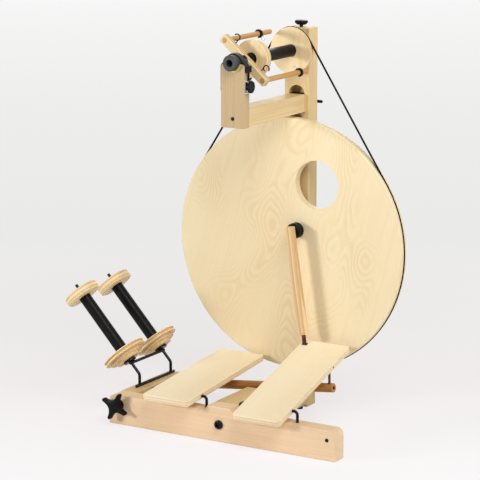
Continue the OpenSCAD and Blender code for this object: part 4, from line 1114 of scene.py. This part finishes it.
@dataclass
class Wheel:
    """Plywood drive wheel, its axle and crank, and the drive belt.

    Attributes:
        grain_turn: Angle of the face grain from +X, in degrees.
        arris: Rounding of the wheel's edges.
        cap_edge, cap_chamfer: Rounding of the crank cap's front edge and chamfer of its back one.
        groove, groove_place: Depth of the cap's groove, and its place as a share of the cap's length.
        groove_half: Half the groove's width, as such a share too.
        belt_steps: Points of the belt on the wheel, on the whorl and on each straight run.
    """

    grain_turn: float = 74.0
    arris: float = 0.7 * MM
    cap_edge: float = 6 * MM
    cap_chamfer: float = 0.6 * MM
    groove: float = 0.5 * MM
    groove_place: float = 0.52
    groove_half: float = 0.03
    belt_steps: tuple[int, int, int] = (200, 48, 60)

    def build(self) -> None:
        """Build the disc, its fittings and the belt."""
        low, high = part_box("drive_wheel")
        turn = math.radians(self.grain_turn)
        grain = GrainFrame(Vector((math.cos(turn), 0, math.sin(turn))), BACK, middle_of("drive_wheel"))
        dress_ply("drive_wheel", self.arris, WHEEL_PLY, grain, high.y - low.y)
        paint(GRAPHITE, "wheel_hub", "axle_nut")
        paint(BRIGHT_STEEL, "wheel_axle", "crank_pin")
        self.cap()
        self.belt()

    def cap(self) -> None:
        """Turn the crank's round cap, with a domed face and a fine groove near its back."""
        low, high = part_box("crank_cap")
        middle = (low + high) / 2
        radius, length = (high.x - low.x) / 2, high.y - low.y
        edge, chamfer = self.cap_edge, self.cap_chamfer
        groove, place, half = self.groove, self.groove_place, self.groove_half
        profile = [(0.0, length), (radius - chamfer, length), (radius, length - chamfer)]
        profile += [(radius, length * (place + half)), (radius - groove, length * place)]
        profile += [(radius, length * (place - half))]
        profile += arc_profile((radius - edge, edge), edge, 0, -80, 12)
        profile += [(radius * 0.3, 0.05 * MM), (0.0, 0.0)]
        cap = lathed("crank_cap_domed", profile, Vector((middle.x, low.y, middle.z)), BACK, 96)
        install(cap, BLACK_PLASTIC, "crank_cap")

    def belt(self) -> None:
        """Make the belt, a round profile carried along two arcs and two straight runs.

        The straight runs touch both circles, so their slope's sine is the difference of the radii over the
        distance of the axes, and the arcs end where that slope begins.
        """
        low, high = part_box("drive_belt")
        wheel, whorl = middle_of("drive_wheel"), middle_of("bobbin_whorl")
        thick = (high.y - low.y) / 2
        reach, small = wheel.z - low.z - thick, high.z - whorl.z - thick
        slope = math.asin((reach - small) / (whorl.z - wheel.z))
        on_wheel, on_whorl, on_run = self.belt_steps
        below = np.linspace(np.pi - slope, 2 * np.pi + slope, on_wheel)
        above = np.linspace(slope, np.pi - slope, on_whorl)
        large = arc_points(reach, below, wheel.y, wheel.z)
        little = arc_points(small, above, wheel.y, whorl.z)
        share = np.linspace(0, 1, on_run)[1:-1, None]
        right = large[-1] + share * (little[0] - large[-1])
        left = little[-1] + share * (large[0] - little[-1])
        path = np.concatenate((large, right, little, left))
        rings = swept_rings(path, BACK, round_profile(thick), closed=True)
        install(grid_object("drive_belt_round", rings, wrap=True), RUBBER, "drive_belt")


@dataclass
class Footman:
    """Wooden bar from the right treadle to the crank, with its leather strap.

    Attributes:
        arris: Rounding of the bar's edges.
        ply_thick: Thickness of one ply of the folded strap.
        strap_width: Width of the strap.
        pin_radius: Radius of the pin that the strap is folded round.
        pin_inset, pin_rise: Place of the pin's middle, from the pins' left end and above the strap's foot.
        parting: Height above the pin at which the plies part.
        seam, play: Half the gap between the plies, and the gap round the pin.
        short: How far the strap's top stays below its solid's.
    """

    arris: float = 0.6 * MM
    ply_thick: float = 1.45 * MM
    strap_width: float = 8 * MM
    pin_radius: float = 1.8 * MM
    pin_inset: float = 10 * MM
    pin_rise: float = 4 * MM
    parting: float = 8 * MM
    seam: float = 0.05 * MM
    play: float = 0.1 * MM
    short: float = 0.5 * MM

    def build(self) -> None:
        """Build the bar and the strap."""
        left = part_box("right_treadle_pins")[0].x
        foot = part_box("footman_strap")[0].z
        pin = Vector((left + self.pin_inset, middle_of("footman").y, foot + self.pin_rise))
        top = middle_of("crank_cap")
        along = Vector((top.x - pin.x, 0, top.z - pin.z)).normalized()
        dress_timber("footman", self.arris, STRIPED_BIRCH, along, BACK)
        self.strap(pin, along)

    def strap(self, pin: Vector, along: Vector) -> None:
        """Fold the strap round its pin.

        Both plies run down the middle of the bar and part near the pin by a smooth step, and an arc below the
        pin joins them.

        Args:
            pin: Middle of the pin.
            along: Direction of the footman.
        """
        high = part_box("footman_strap")[1]
        length = (high.z - pin.z) / along.z - self.short
        half = self.ply_thick / 2
        eye = self.pin_radius + half + self.play
        rise = np.linspace(length, 0, 36)[:-1]
        part = np.clip((self.parting - rise) / self.parting, 0, 1)
        spread = half + self.seam + (eye - half) * part ** 2 * (3 - 2 * part)
        turn = np.linspace(0, np.pi, 15)
        depth = np.concatenate((spread, eye * np.cos(turn), -spread[::-1]))
        height = np.concatenate((rise, -eye * np.sin(turn), rise[::-1]))
        path = np.array(pin) + depth[:, None] * np.array(BACK) + height[:, None] * np.array(along)
        across = BACK.cross(along)
        rings = swept_rings(path, across, band_profile(self.ply_thick, self.strap_width))
        install(grid_object("footman_strap_folded", rings), RED_LEATHER, "footman_strap")


@dataclass
class Head:
    """Arm, front board, bearings and the knob on the post.

    Attributes:
        arris: Rounding of the timbers' edges.
        knob_foot, stem: Radius of the knob's underside where it meets its stem, and of the stem.
        knob_gap: Height of that underside over the post.
        rim, crown: Radius of the knob's rim, and rise of its face over the rim.
    """

    arris: float = 0.7 * MM
    knob_foot: float = 5.5 * MM
    stem: float = 3.5 * MM
    knob_gap: float = 4 * MM
    rim: float = 3.2 * MM
    crown: float = 0.6 * MM

    def build(self) -> None:
        """Build the timbers and dress the fittings."""
        dress_timber("arm", self.arris, BIRCH, BACK, UP)
        dress_timber("front_board", self.arris, BOARD_BIRCH, UP, BACK)
        self.peg()
        paint(YELLOW_NYLON, "front_bearing", "rear_bearing")
        self.knob()

    def peg(self) -> None:
        """Turn the peg behind the post, with round ends."""
        low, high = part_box("arm_peg")
        middle = (low + high) / 2
        radius, half = (high.z - low.z) / 2, (high.x - low.x) / 2
        end = arc_profile((0.0, half - radius), radius, 0, 88, 8)
        profile = [(r, -h) for r, h in end[::-1]] + end
        peg = lathed("arm_peg_round", profile, middle, RIGHT, 32)
        install(peg, BLACK_PLASTIC, "arm_peg")

    def knob(self) -> None:
        """Turn the knob: a stem, a flared underside, a round rim and a low dome."""
        low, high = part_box("lock_knob")
        middle = (low + high) / 2
        radius = (high.x - low.x) / 2
        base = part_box("post")[1].z + self.knob_gap
        rim, crown, foot = self.rim, self.crown, self.knob_foot
        share = np.linspace(0, 1, 9)
        flare_r = foot + (radius - rim * 0.6 - foot) * share
        flare_z = base + (high.z - base - 2 * rim - crown) * share ** 2.5
        profile = [(0.0, low.z), (self.stem, low.z), (self.stem, base - crown), (foot, base)]
        profile += list(zip(flare_r, flare_z))[1:]
        profile += arc_profile((radius - rim, high.z - rim - crown), rim, -60, 75, 10)
        profile += [(radius * 0.5, high.z - 0.35 * MM), (radius * 0.2, high.z - 0.05 * MM), (0.0, high.z)]
        knob = lathed("lock_knob_domed", profile, Vector((middle.x, middle.y, 0)), UP, 96)
        install(knob, BLACK_PLASTIC, "lock_knob")


@dataclass
class Brake:
    """Leather brake strap over the orifice ring, with its buckle, bracket and knob.

    Attributes:
        thick: Thickness of the strap.
        wrap: Half the angle that the strap wraps over the ring, in degrees.
        shoulder_drop: Drop of the strap's shoulders below the flyer's axis.
        bend: Radius of the strap at its shoulders.
        right_drop: Length of its right run below the shoulder.
        soft: Share of its thickness that the soft band has.
        clip_arris, plate_arris, knob_arris: Rounding of the buckle, the bracket and the knob.
    """

    thick: float = 2.4 * MM
    wrap: float = 50.0
    shoulder_drop: float = 6.5 * MM
    bend: float = 5 * MM
    right_drop: float = 8 * MM
    soft: float = 0.94
    clip_arris: float = 0.35 * MM
    plate_arris: float = 0.3 * MM
    knob_arris: float = 0.7 * MM

    def build(self) -> None:
        """Build the strap and dress the fittings."""
        self.strap()
        dress_made("brake_clip", self.clip_arris, BLACK_PLASTIC)
        dress_made("brake_plate", self.plate_arris, BRIGHT_STEEL)
        dress_made("brake_knob", self.knob_arris, BLACK_PLASTIC)

    def strap(self) -> None:
        """Carry a soft band along the strap's way: up the left side, over the ring and down to the buckle."""
        low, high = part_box("brake_strap")
        axle = middle_of("orifice_hub")
        middle_y = (low.y + high.y) / 2
        reach = high.z - axle.z - self.thick / 2
        side = high.x - self.thick / 2
        shoulder = axle.z - self.shoulder_drop
        turn = np.radians(np.linspace(90 + self.wrap, 90 - self.wrap, 25))
        over = arc_points(reach, turn, middle_y, axle.z)
        rise = filleted([(-side, middle_y, low.z), (-side, middle_y, shoulder), tuple(over[0])], self.bend)
        right_low = shoulder - self.right_drop - self.thick / 2
        fall = filleted([tuple(over[-1]), (side, middle_y, shoulder), (side, middle_y, right_low)], self.bend)
        way = np.concatenate((rise[:-1], over, fall[1:]))
        path = points_at(way, np.linspace(0, distances(way)[-1], 120))
        rings = swept_rings(path, BACK, band_profile(self.thick * self.soft, high.y - low.y, power=6.0))
        install(grid_object("brake_strap_leather", rings), BLACK_LEATHER, "brake_strap")


@dataclass
class Flyer:
    """Orifice ring, crossbar, arms, guides and sliding hooks.

    Attributes:
        turn: Turn of the flyer's arms from +X at rest, in degrees.
        arris: Rounding of the edges.
        arm_reach: Distance of the arms from the axis.
        arm_radius: Radius of the arms.
        mouth: Opening of the clips, in degrees.
        lip, lip_thin: Share of a clip's half length that its lip takes, and of its section left at the end.
        clip_radius, clip_length, clip_gap: Size of the sliding clips, and their gap to the arm.
        loop_radius, wire: Loop and wire of the hooks.
        guide_reach, guide_height: Place of the fixed guides' middles along the crossbar and beside it.
        guide_radius, guide_wire: Radius of the guides and of their wire.
        guide_open, guide_mouth: Opening of the guides and its direction, in degrees.
        guide_foot: Place of a guide's stem on its ring, in degrees.
        stem_end: How far from the flyer's axis a stem ends in the wood.
        stem_share: Thickness of a stem's wire as a share of the ring's.
    """

    turn: float = 139.0
    arris: float = 0.5 * MM
    arm_reach: float = 54 * MM
    arm_radius: float = 5 * MM
    mouth: float = 70.0
    lip: float = 0.06
    lip_thin: float = 0.08
    clip_radius: float = 8.5 * MM
    clip_length: float = 7 * MM
    clip_gap: float = 0.06 * MM
    loop_radius: float = 4 * MM
    wire: float = 0.8 * MM
    guide_reach: float = 42 * MM
    guide_height: float = 18.5 * MM
    guide_radius: float = 6 * MM
    guide_wire: float = 1.2 * MM
    guide_open: float = 85.0
    guide_mouth: float = 45.0
    guide_foot: float = 148.0
    stem_end: float = 2.6 * MM
    stem_share: float = 0.87

    def __post_init__(self) -> None:
        """Work out the flyer's own directions."""
        angle = math.radians(self.turn)
        self.out = np.array((math.cos(angle), 0, math.sin(angle)))
        self.up = np.array((-math.sin(angle), 0, math.cos(angle)))
        self.axle = np.array(middle_of("flyer_spindle"))

    def build(self) -> None:
        """Build the wooden pieces, the guides and the hooks."""
        bar = GrainFrame(Vector(self.out), BACK, middle_of("flyer_crossbar"))
        low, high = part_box("flyer_crossbar")
        dress_ply("flyer_crossbar", self.arris, BAR_PLY, bar, high.y - low.y)
        dress_timber("flyer_arms", self.arris, ARM_BEECH, BACK, UP)
        dress_made("orifice_hub", self.arris, GRAPHITE)
        paint(BRIGHT_STEEL, "flyer_spindle")
        paint(BLACK_PLASTIC, "flyer_collar")
        self.guides()
        self.hook("upper_hook", 1)
        self.hook("lower_hook", -1)

    def clip(self, name: str, side: int, y: float) -> bpy.types.Object:
        """Carry a soft band round a flyer arm, open at its mouth, with rounded lips.

        Args:
            name: The piece's name.
            side: 1 or -1 for the arm.
            y: Middle of the clip along the flyer's axis.

        Returns:
            The object.
        """
        inner = self.arm_radius + self.clip_gap
        middle = self.axle + side * self.arm_reach * self.out
        middle[1] = y
        half = math.radians(self.mouth / 2)
        angle = np.linspace(np.pi / 2 + half, np.pi / 2 + 2 * np.pi - half, 49)[:, None]
        reach = (inner + self.clip_radius) / 2
        path = middle + reach * (np.cos(angle) * self.out + np.sin(angle) * self.up)
        place = np.linspace(-1, 1, 49)
        ends = np.clip((1 - np.abs(place)) / self.lip, 0, 1)
        share = np.sqrt(1 - (1 - ends) ** 2) * (1 - self.lip_thin) + self.lip_thin
        profile = band_profile(self.clip_radius - inner, self.clip_length, 24, 3.5)
        return grid_object(name, swept_rings(path, BACK, profile[None] * share[:, None, None]))

    def guides(self) -> None:
        """Bend the two fixed guides, open rings of wire on stems that stand in the crossbar's side."""
        y = middle_of("guide_rings").y
        wires = []
        for side in (1, -1):
            middle = self.axle + side * self.guide_reach * self.out - self.guide_height * self.up
            middle[1] = y
            first = self.guide_mouth + self.guide_open / 2
            last = self.guide_mouth + 360 - self.guide_open / 2
            angle = np.radians(np.linspace(first, last, 61))[:, None]
            ring = middle + self.guide_radius * (np.cos(angle) * side * self.out + np.sin(angle) * self.up)
            foot = math.radians(self.guide_foot)
            top = middle + self.guide_radius * (math.cos(foot) * side * self.out + math.sin(foot) * self.up)
            down = self.guide_height - self.guide_radius * math.sin(foot) - self.stem_end
            stem = np.linspace(top, top + down * self.up, 12)
            wires.append(round_rod(f"guide_ring_{side}", ring, BACK, self.guide_wire))
            wires.append(round_rod(f"guide_stem_{side}", stem, BACK, self.guide_wire * self.stem_share))
        rings = joined("guide_rings_bent", wires)
        install(rings, BLACK_PLASTIC, "guide_rings", material=BLACK_STEEL.material())

    def hook(self, node: str, side: int) -> None:
        """Make a sliding hook: a moulded clip and a loop of steel wire on its inner side.

        Args:
            node: The hook's node.
            side: 1 or -1 for the arm that it slides on.
        """
        y = middle_of(node).y
        install(self.clip(f"{node}_clip", side, y), BLACK_PLASTIC, node)
        middle = self.axle + side * (self.arm_reach - self.clip_radius - self.loop_radius) * self.out
        middle[1] = y
        angle = np.linspace(0, 2 * np.pi, 64, endpoint=False)[:, None]
        path = middle + self.loop_radius * (np.cos(angle) * self.out + np.sin(angle) * self.up)
        rings = swept_rings(path, BACK, round_profile(self.wire, 12), closed=True)
        install(grid_object(f"{node}_loop", rings, wrap=True), BRIGHT_STEEL, node)


@dataclass
class Bobbin:
    """A bobbin's tube, flange and stepped whorl.

    Attributes:
        prefix: Start of its nodes' names.
        axis: Direction from the whorl to the flange.
        arris: Rounding of the turned edges.
        flange, whorl: Their lengths along the axis.
    """

    prefix: str
    axis: Vector
    arris: float = 0.5 * MM
    flange: float = 16 * MM
    whorl: float = 20.5 * MM

    def build(self) -> None:
        """Dress the tube, and round the flange and the whorl with their layers square to the axis."""
        paint(BLACK_PLASTIC, f"{self.prefix}_tube")
        side = self.axis.cross(BACK if abs(self.axis.y) < 0.5 else RIGHT)
        for part, thickness in (("flange", self.flange), ("whorl", self.whorl)):
            node = f"{self.prefix}_{part}"
            dress_ply(node, self.arris, TURNED_PLY, GrainFrame(side, self.axis, middle_of(node)), thickness)


@dataclass
class Rack:
    """Bobbin rack: its rail, bent wire frame, spindles and star knob.

    Attributes:
        lean: Lean of the spindles from upright, in degrees.
        arris: Rounding of the rail's edges.
        overhang: Length of the lower bar past an upright.
        wire: Radius of the frame's wire.
        bend: Bend radius of the uprights.
        stub, arm: Lengths of an upright below and above its bend.
        star_reach, star_tip: Reach of the star's arms and radius of their tips.
        star_hollow: Power that hollows the star's sides.
        star_thick: Thickness of the star.
        star_turn: Turn of its first arm from +X, in degrees.
        star_height: Height of its bolt.
        star_hub, star_bolt: Radius of the round hub behind it and of its bolt.
        star_rim, star_crown: Radius of its rim, and rise of its face over the rim.
    """

    lean: float = 42.5
    arris: float = 0.9 * MM
    overhang: float = 14 * MM
    wire: float = 3 * MM
    bend: float = 10 * MM
    stub: float = 22 * MM
    arm: float = 28 * MM
    star_reach: float = 29 * MM
    star_tip: float = 3.5 * MM
    star_hollow: float = 4.0
    star_thick: float = 13 * MM
    star_turn: float = 65.0
    star_height: float = 40 * MM
    star_hub: float = 12 * MM
    star_bolt: float = 4 * MM
    star_rim: float = 2.4 * MM
    star_crown: float = 0.8 * MM

    @property
    def spindle(self) -> Vector:
        """Give the direction of the spindles."""
        angle = math.radians(self.lean)
        return Vector((-math.sin(angle), 0, math.cos(angle)))

    def build(self) -> None:
        """Build the rail, the wire frame and the star knob, and dress the spindles."""
        dress_timber("rack_rail", self.arris, SPINE_BIRCH, BACK, UP)
        paint(BLACK_STEEL, "rack_spindles")
        self.wires()
        self.star()

    def wires(self) -> None:
        """Make the frame: two bars along the rack and two uprights that bend over to the spindles."""
        low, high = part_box("rack_frame")
        rail = middle_of("rack_rail")
        bar_z = low.z + self.wire
        knee_z = bar_z + self.stub
        shelf = np.array((rail.x, 0, knee_z)) + self.arm * np.array(self.spindle)
        over = self.overhang
        rods = []
        for number, y in enumerate((low.y + over, high.y - over)):
            upright = filleted([(rail.x, y, bar_z), (rail.x, y, knee_z), (shelf[0], y, shelf[2])], self.bend)
            rods.append(round_rod(f"upright_{number}", upright, BACK, self.wire))
        lower = np.linspace((rail.x, low.y, bar_z), (rail.x, high.y, bar_z), 24)
        upper = np.linspace(
            (shelf[0], low.y + over / 2, shelf[2]), (shelf[0], high.y - over / 2, shelf[2]), 24)
        rods += [round_rod("bar_low", lower, UP, self.wire), round_rod("bar_high", upper, UP, self.wire)]
        install(joined("rack_frame_bent", rods), BLACK_STEEL, "rack_frame")

    def star_outline(self, outward: float) -> np.ndarray:
        """Give the star's outline, moved out along its normal.

        Each side of an arm follows a curve whose two parts are powers of the cosine and the sine. The curve's
        normal has the other one's power less 2 for each part. A half circle about the arm's end joins the
        two sides.

        Args:
            outward: Distance from the curve.

        Returns:
            Points of the outline as two columns.
        """
        length = self.star_reach - self.star_tip
        angle = np.linspace(np.pi / 4, 0.12, 16)
        wave = np.stack((np.cos(angle), np.sin(angle)), axis=-1)
        normal = wave[:, ::-1] ** (self.star_hollow - 2)
        normal /= np.linalg.norm(normal, axis=1, keepdims=True)
        side = length * wave ** self.star_hollow + outward * normal
        turn = np.radians(np.linspace(84, -84, 11))
        tip = np.array((length, 0)) + outward * np.stack((np.cos(turn), np.sin(turn)), axis=-1)
        arm = np.concatenate((side, tip, side[:0:-1] * np.array((1, -1))))
        quarters = np.radians(self.star_turn - 90 * np.arange(4))
        turns = np.stack((np.cos(quarters), -np.sin(quarters), np.sin(quarters), np.cos(quarters)), axis=-1)
        return (arm @ turns.reshape(4, 2, 2).transpose(0, 2, 1)).reshape(-1, 2)

    def star(self) -> None:
        """Mould the star knob from rings of its outline, moved out less towards its faces for a round rim."""
        low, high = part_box("star_knob")
        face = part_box("front_beam")[0].y
        centre = Vector((middle_of("rack_rail").x, 0, self.star_height))
        rim, crown = self.star_rim, self.star_crown
        share = np.linspace(0, np.pi / 2, 6)
        back = low.y + self.star_thick
        core = self.star_tip - rim
        rows = [(core, 0.06, low.y), (core, 0.6, low.y + crown * 0.375)]
        rows += [(core + rim * math.sin(s), 1.0, low.y + crown + rim * (1 - math.cos(s))) for s in share]
        rows += [(core + rim * math.cos(s), 1.0, back - rim + rim * math.sin(s)) for s in share]
        rows += [(core, 0.3, back)]
        flat = np.stack([self.star_outline(outward) * scale for outward, scale, _ in rows])
        depth = np.broadcast_to(np.array([y for _, _, y in rows])[:, None], flat.shape[:2])
        rings = np.stack((centre.x + flat[..., 0], depth, centre.z + flat[..., 1]), axis=-1)
        grip = grid_object("star_grip", rings)
        hub, bolt = self.star_hub, self.star_bolt
        lap, chamfer, gap = 1 * MM, 1.2 * MM, 0.4 * MM
        profile = [(0.0, back - lap), (hub, back - lap), (hub, face - gap - chamfer)]
        profile += [(hub - chamfer, face - gap), (bolt, face - gap), (bolt, high.y), (0.0, high.y)]
        neck = lathed("star_neck", profile, centre, BACK)
        install(joined("star_knob_moulded", [grip, neck]), BLACK_PLASTIC, "star_knob")


@dataclass
class Studio:
    """Pale floor with painted light and shade, soft lamps and the camera.

    Attributes:
        camera_place: Where the camera stands.
        camera_turn, camera_dip: Its turn from +Y and its dip, in degrees.
        lens: Focal length in millimetres on a sensor of 36 mm.
        floor_radius, floor_level: Radius and height of the floor.
        painted_floor_tones: Painted light and shade of the floor as it is seen, brightest in front of the
            object and darkest a little behind it, each tone with its distance behind the object.
        near_glow: Share of that painted light near the object, where the rest is the floor's own light and
            shadow.
        glow_reach: Distances from the object between which that share grows to the whole.
        floor_colour, floor_rough: The floor's own colour and roughness.
        ambient, ambient_colour: Level and colour of the light from all round.
        background: Colour that is seen past the floor.
        lamps: Each lamp's name, place, length of its sides and power in watts.
        lamp_aim: Point that the lamps face.
    """

    camera_place: tuple[float, float, float] = (2.14748, -3.51272, 1.25745)
    camera_turn: float = 30.998
    camera_dip: float = 11.907
    lens: float = 168.75
    floor_radius: float = 30.0
    floor_level: float = -0.4 * MM
    painted_floor_tones: tuple[tuple[float, tuple[int, int, int]], ...] = (
        (-0.5, (255, 254, 255)), (-0.1, (254, 251, 252)), (0.35, (249, 245, 245)), (0.9, (242, 239, 239)),
        (1.84, (234, 234, 232)), (3.95, (237, 237, 236)), (8.3, (248, 247, 247)))
    near_glow: float = 0.76
    glow_reach: tuple[float, float] = (0.5, 1.9)
    floor_colour: tuple[int, int, int] = (242, 240, 240)
    floor_rough: float = 0.9
    ambient: float = 0.14
    ambient_colour: tuple[int, int, int] = (255, 252, 248)
    background: tuple[int, int, int] = (245, 244, 243)
    lamps: tuple[tuple[str, tuple[float, float, float], float, float], ...] = (
        ("key", (-2.2, -2.6, 1.1), 0.7, 60.0), ("overhead", (1.4, -0.9, 2.3), 1.5, 43.0),
        ("fill", (2.9, 0.1, 1.0), 1.6, 20.0), ("rear", (-1.0, 3.0, 1.8), 1.6, 24.0))
    lamp_aim: tuple[float, float, float] = (0.0, 0.15, 0.4)

    def build(self) -> None:
        """Build the camera, the floor, the surroundings and the lamps."""
        self.camera()
        self.floor()
        self.surroundings()
        for lamp in self.lamps:
            self.lamp(*lamp)
        bpy.context.scene.view_settings.view_transform = "Standard"

    def camera(self) -> None:
        """Place the camera at the photograph's view."""
        data = bpy.data.cameras.new("camera")
        data.lens = self.lens
        data.sensor_width = 36.0
        data.clip_end = 100.0
        camera = bpy.data.objects.new("camera", data)
        camera.location = self.camera_place
        camera.rotation_euler = (math.radians(90 - self.camera_dip), 0, math.radians(self.camera_turn))
        bpy.context.scene.collection.objects.link(camera)
        bpy.context.scene.camera = camera

    def floor(self) -> None:
        """Lay a round floor that keeps the object's shadow near it and shows painted light and shade farther.

        The painted tones, brightest in front of the object and darkest a little behind it, follow the distance
        along the floor from in front of the object to behind it, as the camera looks. They light nothing, so
        the floor is never picked as a lamp, which keeps noise off the pieces.
        """
        angle = np.linspace(0, 2 * np.pi, 96, endpoint=False)
        radius = np.array((0.01, 1.0, 3.0, self.floor_radius))[:, None]
        rings = np.stack(np.broadcast_arrays(
            radius * np.cos(angle), radius * np.sin(angle), np.full_like(radius, self.floor_level)), axis=-1)
        faces = [grid_faces(len(radius), len(angle), False), np.arange(len(angle))[None, :]]
        floor = mesh_object("floor", rings.reshape(-1, 3), faces)
        material, shade, shader = new_material("pale_floor")
        place = shade.add("ShaderNodeTexCoord").outputs["Object"]
        turn = math.radians(self.camera_turn)
        away = (-math.sin(turn), math.cos(turn), 0.0)
        way = shade.add("ShaderNodeVectorMath", {0: place, 1: away}, operation="DOT_PRODUCT").outputs["Value"]
        # Painted light and shade on the floor: a ramp of tones along the camera's way, brightest in front of
        # the object and darkest a little behind it.
        first, last = self.painted_floor_tones[0][0], self.painted_floor_tones[-1][0]
        share = shade.math("DIVIDE", shade.math("SUBTRACT", way, first), last - first)
        painted_floor_tones = shade.add("ShaderNodeValToRGB", {0: share})
        stops = painted_floor_tones.color_ramp.elements
        for number, (reach, colour) in enumerate(self.painted_floor_tones):
            stop = stops[number] if number < 2 else stops.new(1.0)
            stop.position = (reach - first) / (last - first)
            stop.color = srgb(*colour)
        glow = shade.add("ShaderNodeEmission", {"Color": painted_floor_tones.outputs[0], "Strength": 1.0})
        distance = shade.add("ShaderNodeVectorMath", {0: place}, operation="LENGTH").outputs["Value"]
        grown = shade.ramp(distance, *self.glow_reach, self.near_glow, 1.0)
        far = shade.math("MULTIPLY", grown, seen_ray(shade))
        shader.inputs["Base Color"].default_value = srgb(*self.floor_colour)
        shader.inputs["Roughness"].default_value = self.floor_rough
        blend = shade.add("ShaderNodeMixShader", {0: far, 1: shader.outputs[0], 2: glow.outputs[0]})
        output = shade.tree.nodes["Material Output"]
        shade.tree.links.new(blend.outputs[0], output.inputs["Surface"])
        material.cycles.emission_sampling = "NONE"
        floor.data.materials.append(material)

    def surroundings(self) -> None:
        """Light the object from all round, and show a near-white background."""
        world = bpy.data.worlds.new("surroundings")
        world.use_nodes = True
        shade = Shade(world.node_tree)
        light = shade.add(
            "ShaderNodeBackground", {"Color": srgb(*self.ambient_colour), "Strength": self.ambient})
        shown = shade.add("ShaderNodeBackground", {"Color": srgb(*self.background), "Strength": 1.0})
        parts = {0: seen_ray(shade), 1: light.outputs[0], 2: shown.outputs[0]}
        blend = shade.add("ShaderNodeMixShader", parts)
        shade.tree.links.new(blend.outputs[0], world.node_tree.nodes["World Output"].inputs["Surface"])
        bpy.context.scene.world = world

    def lamp(self, name: str, place: tuple[float, float, float], size: float, power: float) -> None:
        """Hang a square soft lamp that faces the object.

        Args:
            name: The lamp's name.
            place: Where it hangs.
            size: Length of its sides.
            power: Its power in watts.
        """
        data = bpy.data.lights.new(name, "AREA")
        data.size = size
        data.energy = power
        lamp = bpy.data.objects.new(name, data)
        lamp.location = place
        aim = Vector(self.lamp_aim) - Vector(place)
        lamp.rotation_euler = aim.to_track_quat("-Z", "Y").to_euler()
        bpy.context.scene.collection.objects.link(lamp)


def main() -> None:
    """Build every sub-assembly."""
    logging.basicConfig(level=logging.INFO, format="%(name)s: %(message)s")
    rack = Rack()
    assemblies = [
        Studio(), Base(), Treadle(Side.RIGHT, slope=16.7), Treadle(Side.LEFT, slope=5.3), Rocker(), Wheel(),
        Footman(), Head(), Brake(), Flyer(), Bobbin("bobbin", -BACK), rack,
        Bobbin("front_spare", rack.spindle), Bobbin("rear_spare", rack.spindle)]
    for assembly in assemblies:
        assembly.build()
    bpy.context.view_layer.update()


if __name__ == "__main__":
    main()
